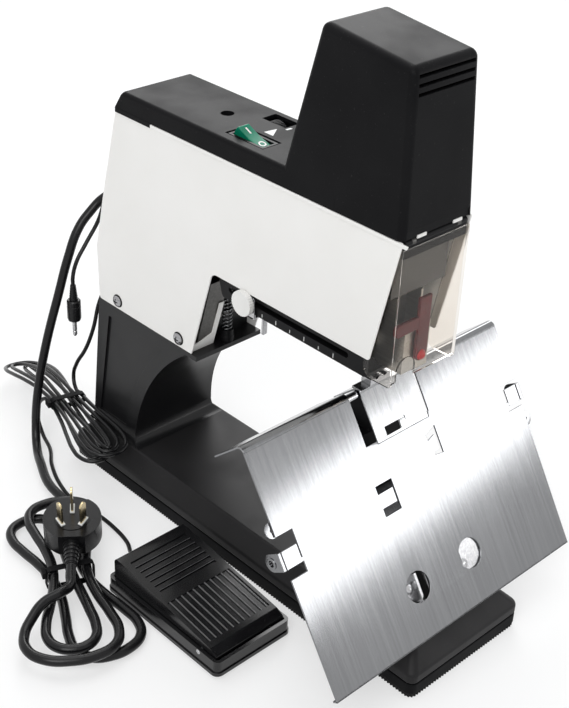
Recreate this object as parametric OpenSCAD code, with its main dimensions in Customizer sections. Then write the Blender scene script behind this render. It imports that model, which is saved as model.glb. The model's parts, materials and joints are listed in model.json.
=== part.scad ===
// Electric saddle stapler with a foot pedal.
// Millimetres. The origin lies under the middle of the base, the front looks to -Y, up is +Z.

/* [Base] */
// width of the base
base_w = 104; // [100:1:108]
// length of the base
base_l = 343; // [339:1:347]
// radius of the base's upright corners
base_corner = 9; // [7:0.5:11]
// thickness of the rubber mat
mat_h = 3; // [2:0.5:4]
// step from the pan's edge in to the mat
mat_in = 2; // [1:0.5:3]
// height of the pan
pan_h = 7.8; // [7:0.2:9]
// thickness of the pan's floor
pan_floor = 3; // [2.6:0.2:3.4]
// height of the shell's upright wall
side_h = 7.2; // [6:0.2:8]
// height of the sloped shoulder
shoulder_h = 11.5; // [10:0.5:13]
// width of the sloped shoulder
shoulder_in = 10.5; // [9:0.5:12]
// head radius of a base screw
base_head = 4; // [3.6:0.1:4.4]
// shank radius of a base screw
base_shank = 1.9; // [1.6:0.1:2.2]

/* [Fits] */
// wall of the plastic mouldings
wall = 2.5; // [2:0.1:3]
// seam between two pieces
seam = 0.3; // [0.25:0.05:0.4]
// radial play of a shaft or pin in its bore
run_fit = 0.05; // [0.03:0.01:0.09]

/* [Column and covers] */
// width over the side covers
body_w = 59.4; // [58.8:0.2:61]
// thickness of the cover sheet
sheet = 1.2; // [1:0.1:1.4]
// height of the column's top plate
column_top = 128.8; // [127:0.2:131]
// rise of the column's neck inside the covers
neck_h = 13; // [12:0.5:14]
// wall of the neck
neck_wall = 3; // [2.5:0.25:3.5]
// rear face of the column
column_rear = 166; // [165:0.5:167]
// half width of the column at its foot
column_foot = 37; // [35.5:0.5:38]
// depth of the sunk panel in the column's side
panel_sink = 1.5; // [1:0.25:2]
// radius of the throat
throat_r = 114.8; // [113:0.2:116]
// front edge of the column's top plate
lip_y = 57.6; // [56:0.2:58]
// head radius of a cover screw
cover_head = 4; // [3.6:0.1:4.4]
// shank radius of a cover screw
cover_shank = 2; // [1.7:0.1:2.3]
// height of a cover screw's head
cover_head_h = 2.6; // [2.2:0.1:3]
// underside of the covers along the arm
cover_low = 199; // [198:0.5:201]

/* [Top cover] */
// height of the deck
deck_z = 293.8; // [293:0.2:296]
// height of the deck's skirt
skirt_h = 12.4; // [11.6:0.2:12.8]
// height of the tower above the deck
tower_h = 90.4; // [88:0.2:95]
// half width of the tower's top
tower_top = 26; // [25:0.5:27]
// length of the rocker's sweep radius
rocker_r = 13.5; // [12.5:0.25:14]
// width of the rocker
rocker_w = 9; // [8:0.25:10]
// radius of the force thumbwheel
dial_r = 9; // [8:0.25:9.5]
// thickness of the force thumbwheel
dial_w = 6; // [5:0.25:7]
// radius of the pocket of the deck screw
pocket_r = 6; // [5.5:0.25:6.5]

/* [Drive] */
// inner half width of the chassis
chassis_x = 21; // [20.4:0.2:21.4]
// thickness of the chassis plate
chassis_t = 2; // [1.6:0.2:2.4]
// radius of the plunger
plunger_r = 8; // [7:0.25:8.5]
// outer radius of the coil
coil_r = 18; // [16:0.5:19]
// travel of the plunger
plunger_travel = 20; // [18:0.5:20]
// thickness of the driver blade
blade_t = 1; // [0.8:0.1:1.2]

/* [Magazine arm] */
// underside of the arm
arm_z = 184; // [183:0.5:185]
// half width of the arm
arm_half = 26.4; // [25.8:0.2:26.6]
// plate of the arm
arm_t = 2; // [1.6:0.2:2.4]
// radius of the pivot shaft
shaft_r = 4; // [3.5:0.25:4.5]
// height of the slot for the depth stop
slot_h = 4; // [3.5:0.25:4.5]
// radius of the stop knob
knob_r = 8.6; // [7.5:0.2:9.5]
// half width of the staple's inside
staple_half = 5.9; // [5.4:0.1:6.2]
// wire of the staples
staple_wire = 0.6; // [0.5:0.1:0.7]
// mean radius of the lift spring
spring_r = 3.2; // [3:0.1:3.4]
// wire diameter of the lift spring
spring_wire = 1; // [0.8:0.1:1.1]
// curls of the lift spring
spring_curls = 24; // [20:1:26]

/* [Guard] */
// thickness of the clear guard
guard_t = 1.4; // [1.2:0.1:1.6]
// lower edge of the guard
guard_low = 190; // [188:0.5:193]
// radius of the guard pin
guard_pin_r = 1; // [0.9:0.05:1.2]

/* [Saddle table] */
// width of the table
table_w = 222; // [216:1:228]
// thickness of the table's sheet
table_t = 1.2; // [1:0.1:1.4]
// fall of the front leaf below level, in degrees
table_fall = 56.7; // [55:0.1:58]
// length of the front leaf
leaf_front = 158; // [154:0.5:160]
// length of the rear leaf
leaf_rear = 25; // [22:0.5:28]
// fall of the rear leaf below level, in degrees
rear_fall = 41; // [38:0.5:44]
// radius of the ridge rods
rod_r = 3; // [2.75:0.05:3.25]
// height of the ridge rods
rod_z = 161; // [160:0.2:162]
// radius of the rods' stubs in the post
stub_r = 1.8; // [1.5:0.1:1.9]
// radius of the round holes over the rest's screws
eye_r = 9.6; // [9:0.1:10.5]

/* [Foot pedal] */
// width of the pedal
pedal_w = 62.5; // [60:0.5:64]
// length of the pedal
pedal_l = 109.6; // [108:0.2:111]
// height of the pedal's tray
tray_h = 13; // [12:0.5:14]
// height of the pedal plate at its rear
pedal_high = 28.5; // [27:0.5:30]
// radius of the pedal's pin
pedal_pin_r = 1.8; // [1.5:0.1:2.1]

/* [Leads] */
// diameter of the mains lead
mains_d = 6.8; // [6.4:0.1:7]
// diameter of the pedal lead
pedal_d = 3; // [2.8:0.1:3.1]
// width across the plug's body
plug_w = 39; // [37:0.5:40]
// thickness of the plug's body
plug_t = 17; // [16:0.5:18]
// radius of the jack's body
jack_r = 5.2; // [4.8:0.1:5.6]

/* [Hidden] */
$fn = 48;
eps = 0.02;

// heights of the base
shell_z = mat_h + pan_h + seam;
shoulder_z = shell_z + side_h;
plateau_z = shoulder_z + shoulder_h;
floor_z = mat_h + pan_floor;
boss_r = base_shank + 3;
base_screw_spots = [for (x = [-1, 1], y = [-1, 0, 1]) [x * (base_w / 2 - 17), y * (base_l / 2 - 31)]];

// column, throat and covers
neck_z = column_top + neck_h;
neck_y = [70.5, 158];
cover_inner = body_w / 2 - sheet;
neck_half = cover_inner - seam;
column_half = body_w / 2 - 0.4;
throat = [2.3, 31.8];
cover_bottom = column_top + seam;
cover_top = deck_z - skirt_h - seam;
cover_screw_spots = [[76.1, column_top + 6.6], [143.2, column_top + 6.8]];
cover_front = [-110.3, -92.5];
rear_line = [[140.2, cover_top], [158, 209], [166.3, 170], [164.8, cover_bottom]];
cover_outline = [[140.2, cover_top, 2], [158, 209, 60], [166.3, 170, 30], [164.8, cover_bottom, 3],
    [62.8, cover_bottom, 1], [42.9, cover_low, 6], [cover_front[1], cover_low, 2], [cover_front[0],
        cover_top, 1]];
gland = [4, 161, 195];
gland_r = 7;
gland_end = 179;
socket = [-14, 155.1, 222];
socket_r = 5;

// top cover
tower_z = deck_z + tower_h;
deck_rear = 133;
tower_front = -112;
rocker_spot = [-14, 25, deck_z - 4.8];
rocker_tilt = 48;
bezel_l = 2 * rocker_r + 4;
bezel_w = rocker_w + 4;
dial_spot = [17.4, 37.5, deck_z - 1 - dial_r];
window_l = 15;
deck_screw = [0, 63.5];
pocket_floor = deck_z - 9.3;

// chassis and drive
chassis_out = chassis_x + chassis_t;
chassis_drop = 4.1;
chassis_top = cover_top - chassis_drop;
chassis_front = -100;
chassis_legs = [74, 150];
chassis_gap = 4;
front_skirt = 37;
rear_skirt = 60;
strip_w = 26;
lug_w = 3;
lug_x = 17.5;
function inside_rear(z) = rear_line[1][0] - sheet - chassis_gap + (z - rear_line[1][1])
    * (rear_line[0][0] - rear_line[1][0]) / (rear_line[0][1] - rear_line[1][1]);
shelf_t = 3;
plunger_y = -80;
coil_low = chassis_top + shelf_t + 7;
coil_high = coil_low + 54;
yoke_t = 5;
yoke_half = coil_r + 1;
crosshead_z = chassis_top - 16;
crosshead_h = 7;
shaft = [120, 208];
shaft_half = arm_half - seam;

// magazine arm
arm_front = -91;
arm_top = arm_z + 33;
arm_rear_z = arm_z + 16.5;
slot_z = arm_z + 8;
slot_span = [-76, 30];
rail_z = arm_z + arm_t;
rail_half = staple_half - 0.4;
channel_half = staple_half + staple_wire + 2;
strip_front = -82.8;
strip_rear = -35;
crown_z = rail_z + 7;
pusher_l = 9;
channel_rear = 32;
rod_pusher_r = 1.2;
blade_y = -84.1;
blade_gap = 1.7;
nose_front = -104.6;
nose_top = arm_z + 50;
stop_y = 11;
stem_l = 6.2;
stem_r = 2;
spring_spot = [2.5, 63];
cup_h = 9;
cup_wall = 1.2;
cup_r = spring_r + spring_wire / 2 + 0.3 + cup_wall;
spring_low = column_top + 1.5 + spring_wire / 2 + seam;
spring_high = arm_rear_z - spring_wire / 2 - seam;

// guard
barrel_r = guard_pin_r + 1;
hinge = [-109.5, deck_z - skirt_h - barrel_r - 0.8];
guard_half = cover_inner - seam;
guard_front = -112;

// saddle table
ridge_y = -76.6;
ring_in = rod_r + run_fit;
ring_out = ring_in + table_t;
head_x = [-11, 29];
post_x = [-24, 29];
gap_x = [-22, 30.6];
gap_s = 36;
head_low = rod_z - 25;
cap_z = 3.2;
cap_t = 1.6;
cap_half = 4;
lip_h = 4;
clinch_z = 9;
rod_bore = 14;
plate_low = ring_out - table_t - 0.6;
plate_high = ring_out - 0.6;
rest_s = 123;
rest_t = 2;
rest_y = -75.4;
eye_spots = [[-26, -15.5], [23, 14.5]];
guide_spots = [[-1, 66, 11.5], [1, 47, 9]];
notch_w = 13;
guide_half = 5.6;
ear_l = 14;
guide_eye = 2.2;

// pedal
pedal_mid = [-98.3, -26];
pad_h = 2;
plate_gap = 0.4;
pedal_hinge = [pedal_mid[1] - 37, 11];
tray_corner = 1.2;
plate_w = pedal_w - 2 * wall - 2 * plate_gap;
plate_front = pedal_mid[1] - pedal_l / 2 + wall + plate_gap + 1;
plate_rear = pedal_mid[1] + pedal_l / 2 - wall - plate_gap - 1;
pedal_low = 17.5;
pedal_exit = [-100, pedal_mid[1] + pedal_l / 2 + 6, 8];

// routes of the free leads, points chosen by hand
mains_route = [[4, gland_end, 195], [4, gland_end + 3.4, 195], [4, gland_end + 6.8, 195], [-1, 196, 188],
    [-10, 200, 178.5], [-20, 201, 168],
    [-31, 201, 146], [-40, 200, 124], [-56, 200, 78], [-66, 199, 40], [-70, 197, 16], [-76, 188, 5.2],
    [-86, 168, 4.8], [-95, 146, 4.8]];
pedal_route_a = [pedal_exit, pedal_exit + [0, 1.5, 0], pedal_exit + [0, 3, 0], [-97, 46, 3.5], [-91, 58,
    1.8], [-88, 77, 1.8], [-88, 97, 1.8],
    [-91, 119, 1.8], [-89, 136, 1.8], [-78, 166, 1.8], [-67, 184, 1.8], [-61, 203, 5], [-58, 212, 16],
        [-56, 209, 29]];
pedal_route_b = [[-32, 199, 46], [-31, 196, 58], [-27, 189, 73], [-22, 185, 91], [-16, 184, 113], [-4, 182,
    135],
    [9, 182, 160], [12.5, 184, 183], [8.5, 186, 197], [3, 187, 200.6], [-4, 188.5, 191], [-10, 191, 174],
    [-21, 192, 158.5], [-30, 192, 146], [-33.6, 192, 134], [-33.6, 192, 131.5], [-33.6, 192, 129]];

// tied hanks
mains_hank_mid = [-147, 51];
mains_hank_turn = 68;
mains_fan = -9;
mains_floor = mains_d / 2 + 1.4;
mains_lift = mains_d + 0.7;
mains_step = mains_d + 2.8;
mains_waist = 3.8;
mains_turns = [0.27, 2.5, 5.27];
pedal_hank_mid = [-48, 187];
pedal_hank_turn = 76;
pedal_fan = -4;
pedal_floor = 34.3;
pedal_lift = pedal_d + 0.9;
pedal_step = pedal_d + 1.2;
pedal_waist = 1.9;
pedal_turns = [0.5, 4.5, 9.5];
tie_t = 0.9;
tie_w = 5;
plug_spot = [-127.6, 69.5, 28.5];
plug_turn = 52;
plug_tilt = 8;
relief_l = 18;
plug_back = plug_w / 2 - 2;
plug_way = [cos(plug_turn) * cos(plug_tilt), sin(plug_turn) * cos(plug_tilt), sin(plug_tilt)];
plug_end = plug_spot - plug_way * (plug_back + relief_l);
mains_tail = [[-192, 24.5, 16], [-181, 27.5, 20.2], [-170, 26, 22.4], plug_end - 2.4 * mains_d * plug_way,
    plug_end - 1.2 * mains_d * plug_way, plug_end];

// small helpers for outlines
function unit(v) = v / norm(v);
function corner(a, b, c, steps = 6) =
    let (p = [b[0], b[1]], u = unit([a[0], a[1]] - p), w = unit([c[0], c[1]] - p),
         half = acos(max(-1, min(1, u * w))) / 2, r = b[2],
         o = p + unit(u + w) * r / sin(half), s = p + u * r / tan(half) - o, e = p + w * r / tan(half) - o,
         from = atan2(s[1], s[0]), turn = atan2(e[1], e[0]) - from,
         sweep = turn > 180 ? turn - 360 : turn < -180 ? turn + 360 : turn)
    [for (i = [0 : steps]) o + r * [cos(from + sweep * i / steps), sin(from + sweep * i / steps)]];
function rounded(p) = [for (i = [0 : len(p) - 1])
    each (p[i][2] > 0 ? corner(p[(i + len(p) - 1) % len(p)], p[i], p[(i + 1) % len(p)]) : [[p[i][0],
        p[i][1]]])];
function arc(c, r, from, to, steps = 12) =
    [for (i = [0 : steps]) c + r * [cos(from + (to - from) * i / steps),
        sin(from + (to - from) * i / steps)]];

// outline in Y and Z, drawn out along X
module side_prism(outline, x0, x1) {
    translate([x0, 0, 0]) rotate([90, 0, 90]) linear_extrude(x1 - x0) polygon(outline);
}

// outline in X and Z, drawn out along Y
module front_prism(outline, y0, y1) {
    translate([0, y1, 0]) rotate([90, 0, 0]) linear_extrude(y1 - y0) polygon(outline);
}

module block(x, y, z) {
    translate([x[0], y[0], z[0]]) cube([x[1] - x[0], y[1] - y[0], z[1] - z[0]]);
}

module rod_x(x0, x1, y, z, r) {
    translate([x0, y, z]) rotate([0, 90, 0]) cylinder(r = r, h = x1 - x0);
}

module rod_y(y0, y1, x, z, r) {
    translate([x, y0, z]) rotate([-90, 0, 0]) cylinder(r = r, h = y1 - y0);
}

module rod_z_at(x, y, z0, z1, r) {
    translate([x, y, z0]) cylinder(r = r, h = z1 - z0);
}

module rounded_plan(w, l, r) {
    square([w - 2 * r, l], center = true);
    square([w, l - 2 * r], center = true);
    for (x = [-1, 1], y = [-1, 1]) translate([x * (w / 2 - r), y * (l / 2 - r)]) circle(r);
}

module slab(w, l, r, z0, z1) {
    translate([0, 0, z0]) linear_extrude(z1 - z0) rounded_plan(w, l, r);
}

// tubes along a path
function turned(v, t) = unit(v - t * (v * t));
function any_side(t) = turned(abs(t[2]) < 0.9 ? [0, 0, 1] : [1, 0, 0], t);
function tangents(p) = [for (i = [0 : len(p) - 1]) unit(p[min(i + 1, len(p) - 1)] - p[max(i - 1, 0)])];
function sides_of(t) = [for (i = 0, n = any_side(t[0]); i < len(t); i = i + 1, n = i < len(t) ? turned(n,
    t[i]) : n) n];
function rings(p, r, count) =
    let (t = tangents(p), n = sides_of(t))
    [for (i = [0 : len(p) - 1], k = [0 : count - 1])
        let (b = cross(t[i], n[i]), a = 360 * k / count) p[i] + r * (cos(a) * n[i] + sin(a) * b)];
module tube(p, r, count) {
    last = len(p) - 1;
    walls = [for (i = [0 : last - 1], k = [0 : count - 1], half = [0, 1])
        let (a = i * count + k, b = i * count + (k + 1) % count)
        half == 0 ? [a, a + count, b] : [b, a + count, b + count]];
    ends = [[for (k = [0 : count - 1]) k], [for (k = [count - 1 : -1 : 0]) last * count + k]];
    polyhedron(rings(p, r, count), concat(walls, ends), convexity = 10);
}

// smooth line through hand-chosen points
function smooth(p, steps) = concat([for (i = [0 : len(p) - 2], k = [0 : steps - 1])
    let (a = p[max(i - 1, 0)], b = p[i], c = p[i + 1], d = p[min(i + 2, len(p) - 1)], t = k / steps)
    0.5 * (2 * b + (c - a) * t + (2 * a - 5 * b + 4 * c - d) * t * t + (3 * b - a - 3 * c + d) * t * t * t)],
    [p[len(p) - 1]]);

// tied hank: loops drawn in at the waist, spiralling in on the lower layer and out on the upper one
function ease(t) = let (s = max(0, min(1, t))) s * s * (3 - 2 * s);
function hank_point(half_turn, mid_turn, sense, reach, belly, waist, step, fan, lift, droop) =
    let (a = 180 * half_turn, c = cos(a), s = sin(a), out = step * abs(half_turn - mid_turn) / 2,
         up = ease((half_turn - mid_turn) / 0.5 + 0.5), u = (reach[0] + out) * c + reach[1] * c * c,
         v = sense * s * (waist + out + (belly + 0.8 * out) * 2.6 * c * c),
         turn = sense * fan * (1 - 2 * up), fall = u > 0 ? droop[1] : droop[0])
    [u * cos(turn) - v * sin(turn), u * sin(turn) + v * cos(turn), lift * up - fall * u * u];
function placed(p, mid, turn, z) =
    [mid[0] + p[0] * cos(turn) - p[1] * sin(turn), mid[1] + p[0] * sin(turn) + p[1] * cos(turn), z + p[2]];
function mains_loops(per_loop) =
    let (t = mains_turns, count = round((t[2] - t[0]) / 2 * per_loop))
    [for (i = [0 : count]) placed(hank_point(t[0] + (t[2] - t[0]) * i / count, t[1], -1, [70, -2], 10,
        mains_waist, mains_step, mains_fan, mains_lift, [0, 0]), mains_hank_mid, mains_hank_turn,
            mains_floor)];
function pedal_loops(per_loop) =
    let (t = pedal_turns, count = round((t[2] - t[0]) / 2 * per_loop))
    [for (i = [0 : count]) placed(hank_point(t[0] + (t[2] - t[0]) * i / count, t[1], 1, [82, 13], 1,
        pedal_waist, pedal_step, pedal_fan, pedal_lift, [0.0005, 0.0024]),
        pedal_hank_mid, pedal_hank_turn, pedal_floor)];
function mains_path(per_loop, steps) =
    let (loops = mains_loops(per_loop), last = len(loops) - 1,
         tail = smooth(concat([loops[last - round(per_loop / 24)], loops[last]], mains_tail), steps))
    concat(loops, [for (i = [steps + 1 : len(tail) - 1]) tail[i]]);
// straight ends that carry a run into a hank
function lead_in(p, d) = let (way = unit(p[1] - p[0])) [p[0] - 2.4 * d * way, p[0] - 1.2 * d * way, p[0]];
function lead_out(p, d) = let (last = len(p) - 1, way = unit(p[last] - p[last - 1]))
    [p[last], p[last] + 1.2 * d * way, p[last] + 2.4 * d * way];
function least_gap(p, d, apart) = min([for (i = [0 : len(p) - 2],
    j = [i + 1 : len(p) - 1]) if (j - i > apart) norm(p[i] - p[j])]) - d;

// coil spring along +Z
function spring_path(r, curls, z0, z1) = [for (i = [0 : curls * 8])
    [r * cos(45 * i), r * sin(45 * i), z0 + (z1 - z0) * i / (curls * 8)]];

// base

module base_mat() color("#1b1b1c") difference() {
    slab(base_w - 2 * mat_in, base_l - 2 * mat_in, base_corner - mat_in, 0, mat_h);
    for (p = base_screw_spots) rod_z_at(p[0], p[1], -1, mat_h + 1, base_head + 1);
}

module base_pan() color("#2a2a2b") difference() {
    slab(base_w, base_l, base_corner, mat_h, mat_h + pan_h);
    slab(base_w - 2 * wall, base_l - 2 * wall, base_corner - wall, floor_z, mat_h + pan_h + 1);
    for (p = base_screw_spots) {
        rod_z_at(p[0], p[1], mat_h - 1, floor_z + 1, base_shank + 2 * run_fit);
        rod_z_at(p[0], p[1], mat_h - 1, mat_h + 1.6, base_head + seam);
    }
}

module shell_form(inset) {
    w = base_w / 2 - inset;
    l = base_l / 2 - inset;
    low = shoulder_z - inset / 2;
    top = plateau_z - inset;
    intersection() {
        slab(2 * w, 2 * l, base_corner - inset, shell_z, plateau_z + 1);
        front_prism([[-w, shell_z - 1], [w, shell_z - 1], [w, low], [w - shoulder_in, top],
            [shoulder_in - w, top], [-w, low]],
            -base_l, base_l);
        side_prism([[-l, shell_z - 1], [l, shell_z - 1], [l, low], [l - shoulder_in, top],
            [shoulder_in - l, top], [-l, low]],
            -base_w, base_w);
    }
}

module base_shell() color("#343436") difference() {
    union() {
        difference() {
            shell_form(0);
            translate([0, 0, -eps]) shell_form(wall);
        }
        for (p = base_screw_spots) rod_z_at(p[0], p[1], floor_z + seam, plateau_z - wall, boss_r);
    }
    for (p = base_screw_spots) rod_z_at(p[0], p[1], floor_z, plateau_z - wall - 2, base_shank + run_fit);
}

module base_screws() color("#8d8f92") for (p = base_screw_spots) {
    rod_z_at(p[0], p[1], mat_h + 1.6 - 1.4, mat_h + 1.6, base_head);
    rod_z_at(p[0], p[1], mat_h + 1.6 - eps, plateau_z - wall - 4, base_shank);
}

// column

module column_side(inset) {
    f = column_foot - inset;
    t = column_half - inset;
    front_prism([[-t, column_top], [-f, plateau_z + 4], [-f - 4, plateau_z], [f + 4, plateau_z], [f,
        plateau_z + 4], [t, column_top]],
        lip_y - 1, column_rear + 5);
}

module column_front() {
    y = throat[0] + throat_r;
    difference() {
        side_prism([[throat[0], plateau_z], [column_rear + 1, plateau_z], [column_rear, plateau_z + 4],
            [column_rear, column_top], [throat[0], column_top]], -60, 60);
        rod_x(-70, 70, throat[0], throat[1], throat_r);
        block([-70, 70], [throat[0] - 1, y - 0.05], [plateau_z - 1, throat[1]]);
        block([-70, 70], [throat[0] - 1, lip_y], [plateau_z - 1, column_top + 1]);
    }
    side_prism([[y - 9, plateau_z], [y + 4, plateau_z], [y + 4, plateau_z + 9.5],
        each arc([y - 9, plateau_z + 9], 9, 0, -90, 8)], -60, 60);
    block([-60, 60], [lip_y, 80], [column_top - 3.5, column_top]);
}

module column() color("#2c2c2e") difference() {
    union() {
        difference() {
            intersection() {
                column_side(0);
                column_front();
            }
            difference() {
                side_prism([[column_rear - 12, column_top - 10], [column_rear - 7, plateau_z + 9],
                    [throat[0] + throat_r + 11, plateau_z + 9],
                    each arc(throat, throat_r + 11, 5, 54, 12)], -60, 60);
                column_side(panel_sink);
            }
        }
        difference() {
            block([-neck_half, neck_half], neck_y, [column_top - eps, neck_z]);
            block([neck_wall - neck_half, neck_half - neck_wall], neck_y + [neck_wall, -neck_wall],
                [column_top + 3, neck_z + 1]);
        }
    }
    block([-22, 22], [128, column_rear - 5], [plateau_z - 1, column_top - 5]);
    for (p = cover_screw_spots) rod_x(-neck_half - 1, neck_half + 1, p[0], p[1], cover_shank + run_fit);
}

// covers

module side_cover(side) difference() {
    side_prism(rounded(cover_outline), side > 0 ? cover_inner : -body_w / 2,
        side > 0 ? body_w / 2 : -cover_inner);
    for (p = cover_screw_spots) rod_x(-40, 40, p[0], p[1], cover_shank + 0.2);
}

module side_cover_left() color("#f2f1ee") side_cover(-1);
module side_cover_right() color("#f2f1ee") side_cover(1);

module rear_cover() color("#f2f1ee") difference() {
    side_prism([for (p = rear_line) p, for (i = [3 : -1 : 0]) rear_line[i] - [sheet, 0]], -neck_half,
        neck_half);
    rod_y(gland[1] - 15, gland[1] + 15, gland[0], gland[2], gland_r + run_fit);
    rod_y(socket[1] - 15, socket[1] + 15, socket[0], socket[2], socket_r + run_fit);
}

// round-topped screw head, drawn up +Z
module pan_head(r, h) {
    dome = (r * r + h * h / 4) / h;
    rotate_extrude() polygon([[0, 0], [r, 0], each arc([0, h - dome], dome, asin((dome - h / 2) / dome),
        90, 6)]);
}

module cover_screws() color("#cfd2d6") for (side = [-1, 1], p = cover_screw_spots)
    mirror([side > 0 ? 0 : 1, 0, 0]) {
        translate([body_w / 2, p[0], p[1]]) rotate([0, 90, 0]) pan_head(cover_head, cover_head_h);
        rod_x(neck_half - neck_wall - 2, body_w / 2 + eps, p[0], p[1], cover_shank);
    }

module cord_gland() color("#161617") {
    rod_y(gland[1] - 6, gland[1] + 9, gland[0], gland[2], gland_r);
    translate([gland[0], gland[1] + 9 - eps, gland[2]]) rotate([-90, 0, 0])
        cylinder(r1 = gland_r - 1, r2 = mains_d / 2 + 0.8, h = gland_end - gland[1] - 9 + eps);
}

module pedal_socket() color("#18181a") difference() {
    union() {
        rod_y(socket[1] - 12, socket[1] + 3, socket[0], socket[2], socket_r);
        rod_y(socket[1] + 1.5, socket[1] + 4, socket[0], socket[2], socket_r + 1.6);
    }
    rod_y(socket[1] - 10, socket[1] + 5, socket[0], socket[2], 1.9);
}

// top cover: deck and tower in one moulding

module deck_form(inset) intersection() {
    front_prism(rounded([[inset - 30.2, deck_z - skirt_h, 0], [30.2 - inset, deck_z - skirt_h, 0],
        [29.6 - inset, deck_z - inset, 3], [inset - 29.6, deck_z - inset, 3]]), tower_front - 1,
            deck_rear + 20);
    side_prism(rounded([[tower_front + inset, deck_z - skirt_h, 0], [140.6 - inset, deck_z - skirt_h, 0],
        [deck_rear - inset, deck_z - inset, 3], [tower_front + inset, deck_z - inset, 0]]), -40, 40);
}

module tower_form(inset) intersection() {
    front_prism(rounded([[inset - 30.1, deck_z - skirt_h, 0], [30.1 - inset, deck_z - skirt_h, 0],
        [tower_top - inset, tower_z - inset, 5], [inset - tower_top, tower_z - inset, 5]]),
            tower_front - 1, 10);
    side_prism(rounded([[tower_front + inset, deck_z - skirt_h, 0], [-13.5 - inset, deck_z - skirt_h, 0],
        [-38 - inset, tower_z - inset, 6], [-106.3 + inset, tower_z - 7.6 - inset, 5]]), -40, 40);
}

module top_cover() color("#1e1e20") difference() {
    union() {
        difference() {
            union() {
                deck_form(0);
                tower_form(0);
            }
            translate([0, 0, -eps]) {
                deck_form(wall);
                tower_form(wall);
            }
        }
        rod_z_at(deck_screw[0], deck_screw[1], pocket_floor - wall, deck_z - wall + eps, pocket_r + 2);
        for (x = [-1, 1]) block([dial_spot[0] + x * (dial_w / 2 + 2.2) - 1.2,
            dial_spot[0] + x * (dial_w / 2 + 2.2) + 1.2],
            [dial_spot[1] - 4, dial_spot[1] + 4], [dial_spot[2] - 4, deck_z - wall + eps]);
    }
    rod_z_at(deck_screw[0], deck_screw[1], pocket_floor, deck_z + 1, pocket_r);
    rod_z_at(deck_screw[0], deck_screw[1], pocket_floor - wall - 1, pocket_floor + 1, 2.2);
    block([rocker_spot[0] - bezel_w / 2 - run_fit, rocker_spot[0] + bezel_w / 2 + run_fit],
        [rocker_spot[1] - bezel_l / 2 - run_fit, rocker_spot[1] + bezel_l / 2 + run_fit], [deck_z - 9,
            deck_z + 1]);
    block([rocker_spot[0] - bezel_w / 2 - 1.6, rocker_spot[0] + bezel_w / 2 + 1.6],
        [rocker_spot[1] - bezel_l / 2 - 1.6, rocker_spot[1] + bezel_l / 2 + 1.6], [deck_z - 1.2,
            deck_z + 1]);
    block([dial_spot[0] - dial_w / 2 - 1, dial_spot[0] + dial_w / 2 + 1],
        [dial_spot[1] - window_l / 2, dial_spot[1] + window_l / 2], [deck_z - 9, deck_z + 1]);
    rod_x(dial_spot[0] - dial_w / 2 - 6, dial_spot[0] + dial_w / 2 + 6, dial_spot[1], dial_spot[2],
        1.5 + run_fit);
    for (k = [0 : 2]) block([-21, 21], [tower_front - 5, tower_front + 12], [tower_z - 23.5 + 5 * k,
        tower_z - 21.5 + 5 * k]);
}

module deck_screw_piece() color("#b9bbbe") {
    rod_z_at(deck_screw[0], deck_screw[1], pocket_floor, pocket_floor + 3, 4.2);
    rod_z_at(deck_screw[0], deck_screw[1], chassis_top - 3, pocket_floor + eps, 2);
}

module rocker_bezel() color("#101012") difference() {
    union() {
        block([rocker_spot[0] - bezel_w / 2, rocker_spot[0] + bezel_w / 2],
            [rocker_spot[1] - bezel_l / 2, rocker_spot[1] + bezel_l / 2], [deck_z - 26, deck_z - 0.4]);
    }
    block([rocker_spot[0] - rocker_w / 2 - seam, rocker_spot[0] + rocker_w / 2 + seam],
        [rocker_spot[1] - rocker_r - seam, rocker_spot[1] + rocker_r + seam], [deck_z - 12, deck_z + 1]);
    rod_x(rocker_spot[0] - bezel_w / 2 - 1, rocker_spot[0] + bezel_w / 2 + 1, rocker_spot[1],
        rocker_spot[2], 1.2 + run_fit);
}

module rocker() color("#12a577") {
    side_prism([for (p = concat(arc([0, 0], rocker_r, -8, rocker_tilt, 8), [[-1, 5.4]],
        arc([0, 0], rocker_r, 171, 188, 4), [[-6, -4.5], [6, -4.5]])) p + [rocker_spot[1], rocker_spot[2]]],
        rocker_spot[0] - rocker_w / 2, rocker_spot[0] + rocker_w / 2);
    rod_x(rocker_spot[0] - bezel_w / 2 + 0.4, rocker_spot[0] + bezel_w / 2 - 0.4, rocker_spot[1],
        rocker_spot[2], 1.2);
}

module force_dial() color("#232325") {
    difference() {
        rod_x(dial_spot[0] - dial_w / 2, dial_spot[0] + dial_w / 2, dial_spot[1], dial_spot[2], dial_r);
        for (k = [0 : 17]) translate(dial_spot) rotate([20 * k, 0, 0])
            block([-dial_w, dial_w], [-0.5, 0.5], [dial_r - 0.6, dial_r + 1]);
    }
    rod_x(dial_spot[0] - dial_w / 2 - 3, dial_spot[0] + dial_w / 2 + 3, dial_spot[1], dial_spot[2], 1.5);
}

// chassis and drive

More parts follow.
